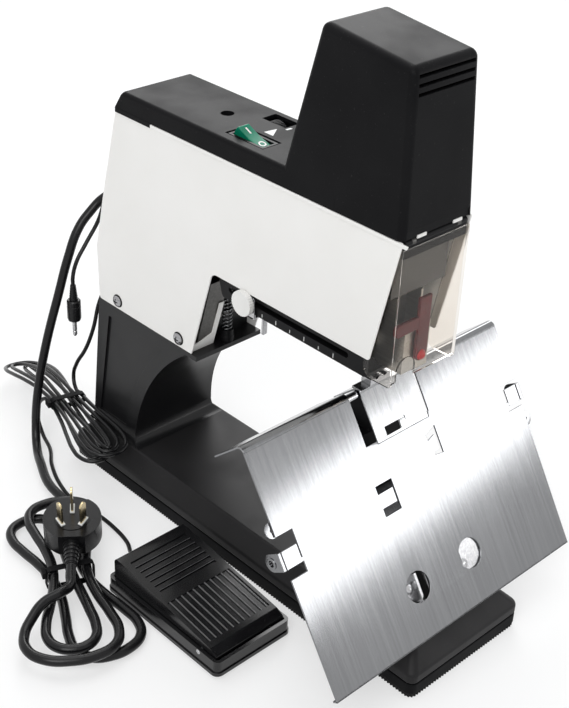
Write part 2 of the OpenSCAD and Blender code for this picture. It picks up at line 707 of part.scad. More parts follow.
module chassis() color("#9da0a3") difference() {
    union() {
        for (side = [0, 1]) mirror([side, 0, 0])
            side_prism([[chassis_legs[0], neck_z], [chassis_legs[1], neck_z],
                [inside_rear(chassis_top - rear_skirt), chassis_top - rear_skirt],
                [inside_rear(chassis_top - 12), chassis_top - 12], [inside_rear(chassis_top) - 6,
                    chassis_top],
                [chassis_front, chassis_top], [chassis_front, chassis_top - front_skirt],
                [chassis_legs[0] - 14, chassis_top - front_skirt - 14],
                [chassis_legs[0], chassis_top - front_skirt - 28]], chassis_x, chassis_out);
        block([-neck_half, neck_half], [neck_y[0] + 0.5, neck_y[1] - 1], [neck_z, neck_z + 2.5]);
        block([-chassis_out, chassis_out], [chassis_front - chassis_t, plunger_y + yoke_half + 5],
            [chassis_top - eps, chassis_top + shelf_t]);
        block([-chassis_out, chassis_out], [deck_screw[1] - strip_w / 2, deck_screw[1] + strip_w / 2],
            [chassis_top - eps, chassis_top + shelf_t]);
        block([-chassis_out, chassis_out], [chassis_front - chassis_t, chassis_front + eps],
            [chassis_top - front_skirt, chassis_top]);
        for (x = [[-lug_x - lug_w, -lug_x], [lug_x, lug_x + lug_w]]) {
            rod_x(x[0], x[1], hinge[0], hinge[1], barrel_r);
            block(x, [hinge[0], chassis_front], [hinge[1] - barrel_r, hinge[1] + barrel_r]);
        }
        side_prism([[64.6, column_top + 1.4], [66.1, column_top + 1.4], [51.6, 186], [50.1, 186]], -24, -8);
        block([-24, -8], [64.6, 70.2], [column_top, column_top + 1.5]);
        block([-24, -20], [66, 70.2], [column_top, neck_z + 2.5]);
        block([-24, -20], [66, 73], [neck_z, neck_z + 2.5]);
    }
    rod_z_at(0, plunger_y, chassis_top - 1, chassis_top + shelf_t + 1, plunger_r + 1);
    rod_z_at(deck_screw[0], deck_screw[1], chassis_top - 5, chassis_top + 5, 2 + run_fit);
    rod_x(-40, 40, shaft[0], shaft[1], shaft_r + run_fit);
    rod_x(-40, 40, hinge[0], hinge[1], guard_pin_r + run_fit);
}

module solenoid_frame() color("#6f7275") difference() {
    union() {
        block([-yoke_half, yoke_half], [plunger_y - yoke_half, plunger_y + yoke_half],
            [chassis_top + shelf_t, coil_low - seam]);
        block([-yoke_half, yoke_half], [plunger_y - yoke_half, plunger_y + yoke_half], [coil_high + seam,
            coil_high + seam + yoke_t]);
        for (side = [-1, 1]) block([side * (yoke_half + 1) - 1, side * (yoke_half + 1) + 1],
            [plunger_y - 12, plunger_y + 12], [chassis_top + shelf_t, coil_high + seam + yoke_t]);
        rod_z_at(0, plunger_y, coil_high - 8, coil_high + seam + eps, plunger_r - 0.5);
    }
    rod_z_at(0, plunger_y, chassis_top, coil_low + 1, plunger_r + seam);
}

module solenoid_coil() color("#a9744a") difference() {
    rod_z_at(0, plunger_y, coil_low, coil_high, coil_r);
    rod_z_at(0, plunger_y, coil_low - 1, coil_high + 1, plunger_r + seam);
}

module plunger() color("#b5b8bb") {
    rod_z_at(0, plunger_y, crosshead_z + crosshead_h - eps, coil_high - 9, plunger_r);
    block([-11, 11], [plunger_y - 9, plunger_y + 9], [crosshead_z, crosshead_z + crosshead_h]);
}

module driver_blade() color("#c3c6c9") {
    block([-staple_half, staple_half], [blade_y, blade_y + blade_t], [crown_z + staple_wire + 2.5,
        crosshead_z - 6]);
    block([-9, 9], [blade_y - 2, plunger_y + 8], [crosshead_z - 6 - eps, crosshead_z - blade_gap]);
}

module control_board() color("#2f6b45") {
    block([3 - chassis_x, 4.6 - chassis_x], [84, 146], [neck_z + 6, 196]);
    for (y = [90, 140], z = [neck_z + 12, 190]) rod_x(-chassis_x, 3.1 - chassis_x, y, z, 2.5);
    block([4.5 - chassis_x, 20 - chassis_x], [112, 140], [neck_z + 10, neck_z + 34]);
    rod_x(4.5 - chassis_x, 16 - chassis_x, 98, neck_z + 22, 6);
    rod_x(4.5 - chassis_x, 14 - chassis_x, 98, neck_z + 40, 5);
}

module pivot_shaft() color("#b5b8bb") rod_x(-shaft_half, shaft_half, shaft[0], shaft[1], shaft_r);

// magazine arm

module arm() color("#1a1a1c") difference() {
    union() {
        for (side = [0, 1]) mirror([side, 0, 0])
            side_prism(rounded([[arm_front, arm_z, 2], [36, arm_z, 3], [41, arm_rear_z, 3], [131,
                arm_rear_z, 2],
                [131, arm_top, 6], [-80, arm_top, 3], [arm_front, arm_top - 12, 3]]), arm_half - arm_t,
                    arm_half);
        block([-arm_half + 0.5, arm_half - 0.5], [arm_front, 35], [arm_z, arm_z + arm_t]);
        block([-arm_half + 0.5, arm_half - 0.5], [54, 71], [arm_rear_z, arm_rear_z + arm_t]);
    }
    block([-staple_half - 2, staple_half + 2], [blade_y - 1, strip_front + 2], [arm_z - 1,
        arm_z + arm_t + 1]);
    block([-arm_half - 1, arm_t - arm_half + 1], slot_span, [slot_z - slot_h / 2, slot_z + slot_h / 2]);
    rod_x(-40, 40, shaft[0], shaft[1], shaft_r + run_fit);
}

module magazine() color("#aeb1b4") {
    difference() {
        block([-channel_half, channel_half], [strip_front, channel_rear], [rail_z, rail_z + 13]);
        block([1 - channel_half, channel_half - 1], [strip_front - 1, channel_rear - 2], [rail_z + 1,
            rail_z + 20]);
    }
    block([-rail_half, rail_half], [strip_front, channel_rear - 1], [rail_z + 1 - eps, crown_z - 0.3]);
    rod_y(strip_rear - 12, channel_rear - 1, 0, crown_z + 3.5, rod_pusher_r);
}

module staple_strip() color("#c9ccce") difference() {
    block([-staple_half - staple_wire, staple_half + staple_wire], [strip_front, strip_rear],
        [rail_z + 1.3, crown_z + staple_wire]);
    block([-staple_half, staple_half], [strip_front - 1, strip_rear + 1], [rail_z, crown_z]);
}

module pusher() color("#8e9194") difference() {
    block([-staple_half - staple_wire - 0.4, staple_half + staple_wire + 0.4], [strip_rear + seam,
        strip_rear + seam + pusher_l],
        [rail_z + 1.4, crown_z + 6.5]);
    block([-rail_half - seam, rail_half + seam], [strip_rear - 1, strip_rear + pusher_l + 2], [rail_z,
        crown_z]);
    rod_y(strip_rear - 1, strip_rear + pusher_l + 2, 0, crown_z + 3.5, rod_pusher_r + run_fit);
}

module pusher_spring() color("#b9bcbf") translate([0, strip_rear + 2 * seam + pusher_l + 0.4,
    crown_z + 3.5]) rotate([-90, 0, 0])
    tube(spring_path(2.1, 14, 0, channel_rear - 2 - strip_rear - pusher_l - 3 * seam - 0.8), 0.35, 6);

module nose_guide() color("#8b8e91") difference() {
    block([-11, 11], [nose_front, blade_y - seam], [rail_z + seam, nose_top]);
    block([-9, 9], [nose_front + 2, blade_y - seam - 2], [rail_z + 3, nose_top + 1]);
}

module release_latch() color("#b3202c") {
    block([-3, 7], [nose_front - seam - 2.4, nose_front - seam], [arm_z + 14, arm_z + 60]);
    side_prism([[nose_front - seam - 2.4, arm_z + 32], [nose_front - seam, arm_z + 32], [nose_front - seam,
        arm_z + 40],
        [nose_front - seam - 2.4, arm_z + 40]], -22, -2.9);
    rod_y(nose_front - seam - 2.4, nose_front - seam, 2, arm_z + 14, 5);
}

module depth_stop() color("#c2c5c8") {
    x = -arm_half - seam;
    block([x - 1.5, x], [stop_y - 7, stop_y + 7], [arm_z - 2.8, slot_z + 5]);
    block([x - 1.5, -16], [stop_y - 7, stop_y + 0.5], [arm_z - 2.8, arm_z - 2.8 + 1.5]);
    block([-20, -16], [stop_y - 7, stop_y - 5.5], [arm_z - 17, arm_z - 2]);
    block([x - eps, -arm_half + arm_t + 1.5], [stop_y - 5, stop_y + 5], [slot_z - slot_h / 2 + seam,
        slot_z + slot_h / 2 - seam]);
    rod_x(x - stem_l, x - 1.4, stop_y, slot_z, stem_r);
}

module stop_knob() color("#f1f0ec") difference() {
    union() {
        rod_x(-arm_half - seam - stem_l - 0.7, -arm_half - 3.4, stop_y, slot_z, knob_r);
        rod_x(-arm_half - 3.5, -arm_half - 2.1, stop_y, slot_z, 4);
    }
    rod_x(-arm_half - seam - stem_l - 0.3, -arm_half - 1, stop_y, slot_z, stem_r + run_fit);
}

module lift_spring() color("#aaadb0") translate([spring_spot[0], spring_spot[1], 0])
    tube(spring_path(spring_r, spring_curls, spring_low, spring_high), spring_wire / 2, 6);

module spring_cup() color("#151517") difference() {
    rod_z_at(spring_spot[0], spring_spot[1], column_top, column_top + cup_h, cup_r);
    rod_z_at(spring_spot[0], spring_spot[1], column_top + 1.5, column_top + cup_h + 1, cup_r - cup_wall);
}

// guard over the nose

module guard() color([0.78, 0.8, 0.82, 0.45]) difference() {
    union() {
        block([-guard_half, guard_half], [guard_front, guard_front + guard_t], [guard_low, hinge[1] - 3]);
        for (side = [0, 1]) mirror([side, 0, 0])
            side_prism(rounded([[guard_front, guard_low - 3, 3], [-88, guard_low - 4, 8], [-104,
                hinge[1] - 3, 1],
                [guard_front, hinge[1] - 3, 0.5]]), guard_half - guard_t, guard_half);
    }
    side_prism([[guard_front - 1, guard_low - 1], [guard_front + 4, guard_low - 1], [guard_front + 4,
        guard_low + 6],
        [guard_front - 1, guard_low + 6]], -24, -8);
    rod_y(guard_front - 1, guard_front + 4, -16, guard_low + 6, 8);
}

module guard_bracket() color("#141416") {
    difference() {
        block([guard_t + 0.3 - guard_half, guard_half - guard_t - 0.3], [guard_front + guard_t,
            guard_front + guard_t + 1],
            [hinge[1] - 9, hinge[1] - barrel_r - 0.6]);
        for (x = [-9, 13]) block([x - 4, x + 4], [guard_front, guard_front + 6], [hinge[1] - 6.4,
            hinge[1] - 4.4]);
    }
    for (x = [[-17, -5], [5, 17]]) difference() {
        union() {
            rod_x(x[0], x[1], hinge[0], hinge[1], barrel_r);
            block(x, [guard_front + guard_t, guard_front + guard_t + 1.5], [hinge[1] - barrel_r - 1,
                hinge[1]]);
        }
        rod_x(x[0] - 1, x[1] + 1, hinge[0], hinge[1], guard_pin_r + run_fit);
    }
}

module guard_pin() color("#b5b8bb") rod_x(-22, 22, hinge[0], hinge[1], guard_pin_r);

// saddle table and what carries it

module on_ridge() translate([0, ridge_y, rod_z]) children();

// point on the front or rear slope of the ridge, s along the slope and n above the axis
function on_front(s, n) = [-s * cos(table_fall) - n * sin(table_fall),
    n * cos(table_fall) - s * sin(table_fall)];
function on_rear(s, n) = [s * cos(rear_fall) + n * sin(rear_fall), n * cos(rear_fall) - s * sin(rear_fall)];
function front_at(z, n) = on_front((n * cos(table_fall) - z) / sin(table_fall), n);
function rear_at(z, n) = on_rear((n * cos(rear_fall) - z) / sin(rear_fall), n);
function front_over(y, n) = on_front((-y - n * sin(table_fall)) / cos(table_fall), n);

module anvil_post() color("#242426") difference() {
    union() {
        block(post_x, [ridge_y - 9, ridge_y + 17], [plateau_z, head_low]);
        block([-34, 38], [ridge_y - 14, ridge_y + 26], [plateau_z, plateau_z + 5]);
        on_ridge() intersection() {
            block(head_x, [-14, 17], [head_low - rod_z - 1, cap_z]);
            side_prism([on_front(40, plate_low), on_front(-8, plate_low), on_rear(-8, plate_low),
                on_rear(40, plate_low)],
                head_x[0], head_x[1]);
        }
    }
    on_ridge() for (side = [[head_x[0] - 1, head_x[0] + rod_bore], [head_x[1] - rod_bore, head_x[1] + 1]])
        rod_x(side[0], side[1], 0, 0, stub_r + run_fit);
}

module anvil_plate() color("#d3d6d9") on_ridge() difference() {
    side_prism([on_front(gap_s - 1, plate_high), front_at(cap_z, plate_high), [-cap_half, cap_z],
        [-cap_half, cap_z + cap_t],
        [cap_half, cap_z + cap_t], [cap_half, cap_z], rear_at(cap_z, plate_high), on_rear(leaf_rear - 4,
            plate_high),
        on_rear(leaf_rear - 4, plate_low), rear_at(cap_z, plate_low), front_at(cap_z, plate_low),
        on_front(gap_s - 1, plate_low)], head_x[0], head_x[1]);
    rotate([table_fall, 0, 0]) block([-8, 5.4], [-30.5, -25], [0, 10]);
}

module clincher() color("#b9bdc1") on_ridge() difference() {
    block([-9, 9], [-cap_half, cap_half], [cap_z + cap_t, clinch_z]);
    for (x = [-1, 1]) rod_y(-6, 6, x * 3.4, clinch_z + 1.4, 2.6);
}

// section of the sheet: two leaves that meet in a tube round the ridge rods
gap_reach = 12;
tongue_s = [60, 69.4];
tongue_x = [-31, -18.2];
tongue_gap = [5, 1.2];

function table_section() =
    let (foot = sqrt(ring_out * ring_out - ring_in * ring_in), spread = acos(ring_in / ring_out))
    concat([on_front(leaf_front + table_t, ring_out)], arc([0, 0], ring_out, 90 + table_fall,
        90 - rear_fall, 10),
        [on_rear(leaf_rear, ring_out), on_rear(leaf_rear, ring_in)],
        arc([0, 0], ring_out, 90 - rear_fall - spread, table_fall + spread - 270, 16),
        [on_front(leaf_front, ring_in), on_front(leaf_front, ring_out - lip_h),
         on_front(leaf_front + table_t, ring_out - lip_h)]);

module table_sheet() difference() {
    side_prism(table_section(), -table_w / 2, table_w / 2);
    rod_x(-table_w, table_w, 0, 0, ring_in);
    side_prism([on_front(gap_s, gap_reach), [0, gap_reach + 2], [gap_reach, gap_reach],
        [gap_reach, -gap_reach], on_front(gap_s, -2)], gap_x[0], gap_x[1]);
    rotate([table_fall, 0, 0]) {
        block([20, 31], [-55, -41], [0, 10]);
        for (s = [tongue_s[0] - tongue_gap[0], tongue_s[1]])
            block([tongue_x[0], tongue_x[1] + tongue_gap[1]], [-s - tongue_gap[0], -s], [0, 10]);
        block([tongue_x[1], tongue_x[1] + tongue_gap[1]], [-tongue_s[1] - 1, 1 - tongue_s[0]], [0, 10]);
        for (eye = eye_spots) intersection() {
            translate([eye[0], -rest_s, 0]) cylinder(r = eye_r, h = 10);
            block([min(eye[1], 2 * eye[0]), max(eye[1], 2 * eye[0])], [-rest_s - 20, 20 - rest_s], [-1, 11]);
        }
        for (g = guide_spots) mirror([g[0] > 0 ? 0 : 1, 0, 0])
            block([table_w / 2 - notch_w, table_w / 2 + 1], [-g[1] - g[2], g[2] - g[1]], [0, 10]);
    }
    rotate([-rear_fall, 0, 0]) block([post_x[0] - 3, post_x[1] + 3], [-2, leaf_rear + 2], [0, 10]);
}

module saddle_table() color("#cfd2d5") on_ridge() table_sheet();

module table_rods() color("#c6c9cc") on_ridge() {
    rod_x(1 - table_w / 2, head_x[0] - seam, 0, 0, rod_r);
    rod_x(head_x[0] - seam - eps, head_x[0] + rod_bore - 1, 0, 0, stub_r);
    rod_x(head_x[1] + seam, table_w / 2 - 1, 0, 0, rod_r);
    rod_x(head_x[1] - rod_bore + 1, head_x[1] + seam + eps, 0, 0, stub_r);
}

// clips in the table's notches: tongue, ear bent down, and a ring at the far end of each clip
module edge_guides() color("#bfc2c5") on_ridge() rotate([table_fall, 0, 0]) for (g = guide_spots)
    mirror([g[0] > 0 ? 0 : 1, 0, 0]) translate([0, -g[1], 0]) {
        out = table_w / 2 + 2;
        ear_z = ring_out + guide_half - ear_l;
        block([table_w / 2 - notch_w - 6, out + 1], [-guide_half, guide_half], [ring_out, ring_out + 1]);
        difference() {
            union() {
                block([out, out + 1], [-guide_half, guide_half], [ear_z, ring_out + 1]);
                rod_x(out, out + 1, 0, ear_z, guide_half);
            }
            rod_x(out - 1, out + 2, 0, ear_z, guide_eye);
        }
        difference() {
            union() {
                block([-table_w / 2, 12 - table_w / 2], [-2, 2], [ring_in - 1, ring_in]);
                translate([-table_w / 2, 0, ring_in - 1]) cylinder(r = 2 * guide_eye, h = 1);
            }
            translate([-table_w / 2, 0, ring_in - 2]) cylinder(r = guide_eye, h = 3);
        }
    }

module table_rest() color("#9fa2a5") {
    n = ring_in - seam;
    foot = plateau_z - rod_z;
    on_ridge() side_prism([[rest_y, foot], [rest_y + 14, foot], [rest_y + 14, foot + rest_t],
        [rest_y + rest_t, foot + rest_t],
        front_over(rest_y + rest_t, n - rest_t), on_front(rest_s - 11, n - rest_t), on_front(rest_s - 11,
            n),
        on_front(rest_s + 13, n), on_front(rest_s + 13, n - rest_t), front_over(rest_y, n - rest_t)], -36,
            38);
    on_ridge() rotate([table_fall, 0, 0]) for (side = [-1, 1]) translate([side * 25, -rest_s, n - eps]) {
        cylinder(r = 4, h = 2.4);
        translate([0, 0, -6]) cylinder(r = 2, h = 6.1);
    }
}

// foot pedal

module pedal_pad() color("#1a1a1b") translate([pedal_mid[0], pedal_mid[1], 0])
    slab(pedal_w - 3, pedal_l - 3, 4, 0, pad_h);

module pedal_base() color("#202022") {
    difference() {
        union() {
            translate([pedal_mid[0], pedal_mid[1], 0]) {
                slab(pedal_w, pedal_l, 4, pad_h, tray_h);
                slab(pedal_w + 1.6, pedal_l + 1.6, 5, pad_h, pad_h + 3);
            }
        }
        translate([pedal_mid[0], pedal_mid[1], 0])
            slab(pedal_w - 2 * wall, pedal_l - 2 * wall, tray_corner, pad_h + 2, tray_h + 1);
        rod_x(pedal_mid[0] - pedal_w, pedal_mid[0] + pedal_w, pedal_hinge[0], pedal_hinge[1],
            pedal_pin_r + run_fit);
    }
    rod_y(pedal_mid[1] + pedal_l / 2 - 1, pedal_exit[1], pedal_exit[0], pedal_exit[2], 3);
}

module pedal_outline(inset) side_prism(rounded([[plate_front + inset, 12.5 - (inset > 0 ? 9 : 0), 0],
    [plate_rear - inset, 12.5 - (inset > 0 ? 9 : 0), 0],
    [plate_rear - inset, pedal_high - inset, 3], [plate_rear - 8, pedal_high - inset + 0.1, 0],
        [plate_front + 6, pedal_low - inset, 4],
    [plate_front + inset, 14.5 - inset, 1.5]]), pedal_mid[0] - plate_w / 2 + inset,
        pedal_mid[0] + plate_w / 2 - inset);

module pedal_plate() color("#161617") difference() {
    fall = atan2(pedal_high - pedal_low, plate_rear - 8 - plate_front - 6);
    union() {
        difference() {
            pedal_outline(0);
            pedal_outline(2);
            translate([pedal_mid[0], plate_rear - 8, pedal_high]) rotate([fall, 0, 0]) {
                for (k = [0 : 5]) block([-plate_w / 2 + 5, plate_w / 2 - 5], [-5 - 5 * k, -2.6 - 5 * k],
                    [-0.9, 2]);
                for (k = [-6 : 6]) block([k * 4 - 1, k * 4 + 1], [-84, -44], [-0.9, 2]);
            }
        }
        for (side = [-1, 1])
            block([pedal_mid[0] + side * (plate_w / 2 - 2) - 2,
                pedal_mid[0] + side * (plate_w / 2 - 2) + 2],
                [pedal_hinge[0] - 4.5, pedal_hinge[0] + 4.5], [pedal_hinge[1] - 4.5, 16]);
    }
    rod_x(pedal_mid[0] - pedal_w, pedal_mid[0] + pedal_w, pedal_hinge[0], pedal_hinge[1],
        pedal_pin_r + run_fit);
}

module pedal_pin() color("#d8dadc") rod_x(pedal_mid[0] - pedal_w / 2 + 0.3,
    pedal_mid[0] + pedal_w / 2 - 0.3, pedal_hinge[0], pedal_hinge[1], pedal_pin_r);

module pedal_spring() color("#a9acaf") translate([pedal_mid[0], pedal_mid[1] + 34, 0])
    tube(spring_path(4.5, 6, pad_h + 2 + 0.9, pedal_high - 4.4), 0.5, 6);

module pedal_switch() color("#2b2b2e") {
    block([pedal_mid[0] - 5, pedal_mid[0] + 5], [pedal_mid[1] - 4, pedal_mid[1] + 16], [pad_h + 2,
        pad_h + 13]);
    rod_z_at(pedal_mid[0], pedal_mid[1] + 8, pad_h + 12, pad_h + 15.5, 1.6);
}

// leads

module mains_lead() color("#111112") tube(smooth(concat(mains_route, lead_in(mains_loops(24), mains_d)),
    2), mains_d / 2, 8);

module mains_hank() color("#111112") tube(mains_path(24, 2), mains_d / 2, 6);

module plug_frame() translate(plug_spot) rotate([0, 0, plug_turn]) rotate([0, -plug_tilt, 0]) children();

module mains_plug() color("#121213") plug_frame() {
    intersection() {
        translate([0, 0, -plug_t / 2]) linear_extrude(plug_t) union() {
            circle(plug_w / 2);
            translate([-plug_back, -9]) square([plug_back, 18]);
        }
        block([-plug_w, plug_w / 2 - 3], [-plug_w, plug_w], [-plug_w, plug_w]);
    }
    translate([-plug_back - relief_l, 0, 0]) rotate([0, 90, 0]) cylinder(r1 = mains_d / 2 + 0.7, r2 = 6.2,
        h = relief_l + 2);
}

module plug_pins() color("#c9b27c") plug_frame() {
    block([4, 10.5], [-0.75, 0.75], [plug_t / 2, plug_t / 2 + 20]);
    for (side = [-1, 1]) translate([-4.5, side * 7.5, 0]) rotate([0, 0, side * 30])
        block([-3.2, 3.2], [-0.75, 0.75], [plug_t / 2, plug_t / 2 + 18]);
}

module pedal_lead() color("#131314") {
    tube(smooth(concat(pedal_route_a, lead_in(pedal_loops(24), pedal_d)), 2), pedal_d / 2, 8);
    tube(smooth(concat(lead_out(pedal_loops(24), pedal_d), pedal_route_b), 2), pedal_d / 2, 8);
}

module pedal_hank() color("#131314") tube(pedal_loops(24), pedal_d / 2, 6);

// band round a hank's waist; across and up are the room inside it
module tie(mid, turn, across, up) translate([mid[0], mid[1], 0]) rotate([0, 0, turn]) difference() {
    block([-tie_w / 2, tie_w / 2], across + [-tie_t, tie_t], up + [-tie_t, tie_t]);
    block([-tie_w, tie_w], across, up);
}

module cord_ties() color("#0f0f10") {
    tie(mains_hank_mid, mains_hank_turn, [-mains_waist - mains_step - mains_d / 2 - 1.2,
        mains_waist + mains_step / 2 + mains_d / 2 + 1.2],
        [mains_floor - mains_d / 2 - 0.4, mains_floor + mains_lift + mains_d / 2 + 0.4]);
    tie(pedal_hank_mid, pedal_hank_turn, [-pedal_waist - 2.5 * pedal_step - pedal_d / 2 - 0.4,
        pedal_waist + 2 * pedal_step + pedal_d / 2 + 0.4],
        [pedal_floor - pedal_d / 2 - 0.3, pedal_floor + pedal_lift + pedal_d / 2 + 0.3]);
}

module jack_body() color("#161617") translate(pedal_route_b[len(pedal_route_b) - 1]) mirror([0, 0, 1]) {
    cylinder(r1 = pedal_d / 2 + 0.5, r2 = 3, h = 12);
    translate([0, 0, 12 - eps]) cylinder(r = jack_r, h = 17);
}

module jack_pin() color("#d2d4d6") translate(pedal_route_b[len(pedal_route_b) - 1]) mirror([0, 0,
    1]) translate([0, 0, 29]) {
    cylinder(r = 1.75, h = 12.4);
    translate([0, 0, 12.3]) cylinder(r1 = 1.75, r2 = 0.6, h = 1.7);
}

echo(mains_hank_gap = least_gap(mains_path(96, 8), mains_d, 14));
echo(pedal_hank_gap = least_gap(pedal_loops(96), pedal_d, 12));

base_mat();
base_pan();
base_shell();
base_screws();
column();
side_cover_left();
side_cover_right();
rear_cover();
cover_screws();
cord_gland();
pedal_socket();
top_cover();
deck_screw_piece();  // deck_screw
rocker_bezel();
rocker();
force_dial();
chassis();
solenoid_frame();
solenoid_coil();
plunger();
driver_blade();
control_board();
pivot_shaft();
arm();
magazine();
staple_strip();
pusher();
pusher_spring();
nose_guide();
release_latch();
depth_stop();
stop_knob();
lift_spring();
spring_cup();
guard();
guard_bracket();
guard_pin();
anvil_post();
anvil_plate();
clincher();
saddle_table();
table_rods();
edge_guides();
table_rest();
pedal_pad();
pedal_base();
pedal_plate();
pedal_pin();
pedal_spring();
pedal_switch();
mains_lead();
mains_hank();
mains_plug();
plug_pins();
pedal_lead();
pedal_hank();
cord_ties();
jack_body();
jack_pin();
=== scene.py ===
"""Looks of the saddle stapler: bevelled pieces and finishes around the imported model."""

import json
import math
import bmesh
import bpy
from mathutils import Matrix, Vector


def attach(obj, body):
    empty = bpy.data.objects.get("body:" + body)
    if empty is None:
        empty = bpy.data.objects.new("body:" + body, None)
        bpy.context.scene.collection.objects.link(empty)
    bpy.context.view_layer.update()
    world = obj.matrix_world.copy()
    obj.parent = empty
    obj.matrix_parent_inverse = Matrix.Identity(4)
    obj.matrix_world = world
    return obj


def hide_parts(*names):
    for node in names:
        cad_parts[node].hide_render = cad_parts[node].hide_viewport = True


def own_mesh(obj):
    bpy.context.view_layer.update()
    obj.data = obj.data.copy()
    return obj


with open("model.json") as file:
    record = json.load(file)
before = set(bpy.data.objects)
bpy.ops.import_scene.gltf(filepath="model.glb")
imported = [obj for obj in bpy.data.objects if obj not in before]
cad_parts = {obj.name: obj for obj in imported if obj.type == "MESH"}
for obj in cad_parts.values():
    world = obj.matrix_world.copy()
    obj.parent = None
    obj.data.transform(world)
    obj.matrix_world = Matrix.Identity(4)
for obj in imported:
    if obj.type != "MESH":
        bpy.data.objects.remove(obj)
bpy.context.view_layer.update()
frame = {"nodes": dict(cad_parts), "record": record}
scene = bpy.context.scene
scene.view_settings.view_transform = "Standard"

# pieces are drawn in millimetres and brought to metres when they are finished
MM = 0.001

# sizes of the part's source; the base's corner and the front leaf follow the photograph more closely
BASE = (104.0, 343.0)
BASE_CORNER = 5.5
SHOULDER = 18.3
PLATEAU = 29.8
MAT_HOLE = (35.0, 140.5)
BODY_HALF = 29.7
INNER_HALF = 28.2
COVER_TOP = 281.1
COVER_LOW = 199.0
COVER_BOTTOM = 129.1
HEM_REAR = 103.8
FLANGE_LEAN = 0.284
DECK = 293.8
SKIRT_LOW = 281.4
TOWER_TOP = 384.2
COLUMN_TOP = 128.8
COLUMN_BREAK = 33.8
COLUMN_FOOT = 37.0
COLUMN_HEAD = 29.3
PANEL_SINK = 1.5
THROAT = (2.3, 31.8)
THROAT_R = 114.8
ARM_LOW = 184.0
ARM_HALF = 26.4
SLOT_Z = 192.0
STOP_Y = 11.0
HINGE = (-109.5, 278.6)
GUARD_FRONT = -112.0
GUARD_LOW = 190.0
RIDGE = (-76.6, 161.0)
TABLE_FALL = 56.7
REAR_FALL = 41.0
TABLE_HALF = 111.0
SADDLE_GAP = (-27.0, 30.6)
LEAF = 155.0
REAR_LEAF = 25.0
SHEET = 1.2
RING = 4.25
RING_IN = RING - SHEET
LEFT_CLIP = (54.5, 77.5)
LEFT_NOTCH = (51.5, 78.0)
RIGHT_CLIP = (38.0, 56.0)
NOTCH = 13.0
EYES = ((-26.0, -15.5), (23.0, 14.5))
EYES_S = 123.0
CAP_LEFT = -17.0
CAP_RIGHT = 28.9
CAP_LOW = 32.4
PEDAL = (-98.3, -26.0)
PEDAL_W = 62.5
PEDAL_L = 109.6
PEDAL_HINGE = (-63.0, 11.0)
MAINS_D = 6.8
PEDAL_D = 3.0


# small helpers for outlines

def point_on(mid, radius, angle):
    turn = math.radians(angle)
    return (mid[0] + radius * math.cos(turn), mid[1] + radius * math.sin(turn))


def arc(mid, radius, start, end, steps):
    return [point_on(mid, radius, start + (end - start) * k / steps) for k in range(steps + 1)]


def circle(mid, radius, steps=28):
    return arc(mid, radius, 0, 360 - 360 / steps, steps - 1)


def toothed(mid, teeth, steps):
    """outline of a knurled wheel, each tooth in steps of (share of its turn, radius)"""
    return [point_on(mid, radius, 360 * (k + share) / teeth) for k in range(teeth) for share, radius in steps]


def rounded(corners, steps=5):
    """outline with each corner (a, b, radius) turned into an arc"""
    ring = []
    count = len(corners)
    for k, (a, b, radius) in enumerate(corners):
        here = Vector((a, b))
        if radius <= 0:
            ring.append((a, b))
            continue
        before = (Vector(corners[k - 1][:2]) - here).normalized()
        after = (Vector(corners[(k + 1) % count][:2]) - here).normalized()
        half = before.angle(after) / 2
        middle = here + (before + after).normalized() * (radius / math.sin(half))
        first = here + before * (radius / math.tan(half)) - middle
        last = here + after * (radius / math.tan(half)) - middle
        sweep = first.angle_signed(last)
        for step in range(steps + 1):
            spoke = first.copy()
            spoke.rotate(Matrix.Rotation(-sweep * step / steps, 2))
            ring.append(tuple(middle + spoke))
    return ring


def box_outline(width, length, radius, mid=(0, 0), steps=5):
    a, b = width / 2, length / 2
    corners = [(-a, -b, radius), (a, -b, radius), (a, b, radius), (-a, b, radius)]
    return [(mid[0] + x, mid[1] + y) for x, y in rounded(corners, steps)]


def ribbed(outline, pitch, depth):
    """closed outline walked in even steps, every other pair of steps drawn in by a depth"""
    ring = [Vector(point) for point in outline]
    legs = [(a, b - a) for a, b in zip(ring, ring[1:] + ring[:1])]
    total = sum(leg.length for _, leg in legs)
    count = 4 * round(total / pitch)
    points = []
    for k in range(count):
        left = total * k / count
        for start, leg in legs:
            if left <= leg.length:
                break
            left -= leg.length
        out = Vector((leg.y, -leg.x)).normalized()
        spot = start + leg.normalized() * left
        points.append(tuple(spot - out * (depth if k % 4 > 1 else 0)))
    return points


# small helpers for places: UPRIGHT stands a drawing of (y, z) up, facing points Z along a named way

UPRIGHT = Matrix(((0, 0, 1, 0), (1, 0, 0, 0), (0, 1, 0, 0), (0, 0, 0, 1)))
WAYS = {"x": ("Y", 90), "-x": ("Y", -90), "y": ("X", -90), "-y": ("X", 90), "z": ("X", 0), "-z": ("X", 180)}


def turn_about(axis, angle):
    return Matrix.Rotation(math.radians(angle), 4, axis)


def facing(way, at):
    return Matrix.Translation(at) @ turn_about(*WAYS[way])


# small helpers for shapes

def moved(work, place, verts):
    bmesh.ops.transform(work, matrix=place, verts=verts)


def grown(work, faces, way):
    """draws faces out along a vector and gives the new vertices"""
    items = bmesh.ops.extrude_face_region(work, geom=faces)["geom"]
    top = [item for item in items if isinstance(item, bmesh.types.BMVert)]
    bmesh.ops.translate(work, verts=top, vec=way)
    return top


def drawn_out(work, ring, way):
    """closed prism from a ring of points"""
    foot = [work.verts.new(point) for point in ring]
    return foot + grown(work, [work.faces.new(foot)], way)


def prism_x(work, outline, x0, x1):
    return drawn_out(work, [(x0, y, z) for y, z in outline], (x1 - x0, 0, 0))


def prism_y(work, outline, y0, y1):
    return drawn_out(work, [(x, y0, z) for x, z in outline], (0, y1 - y0, 0))


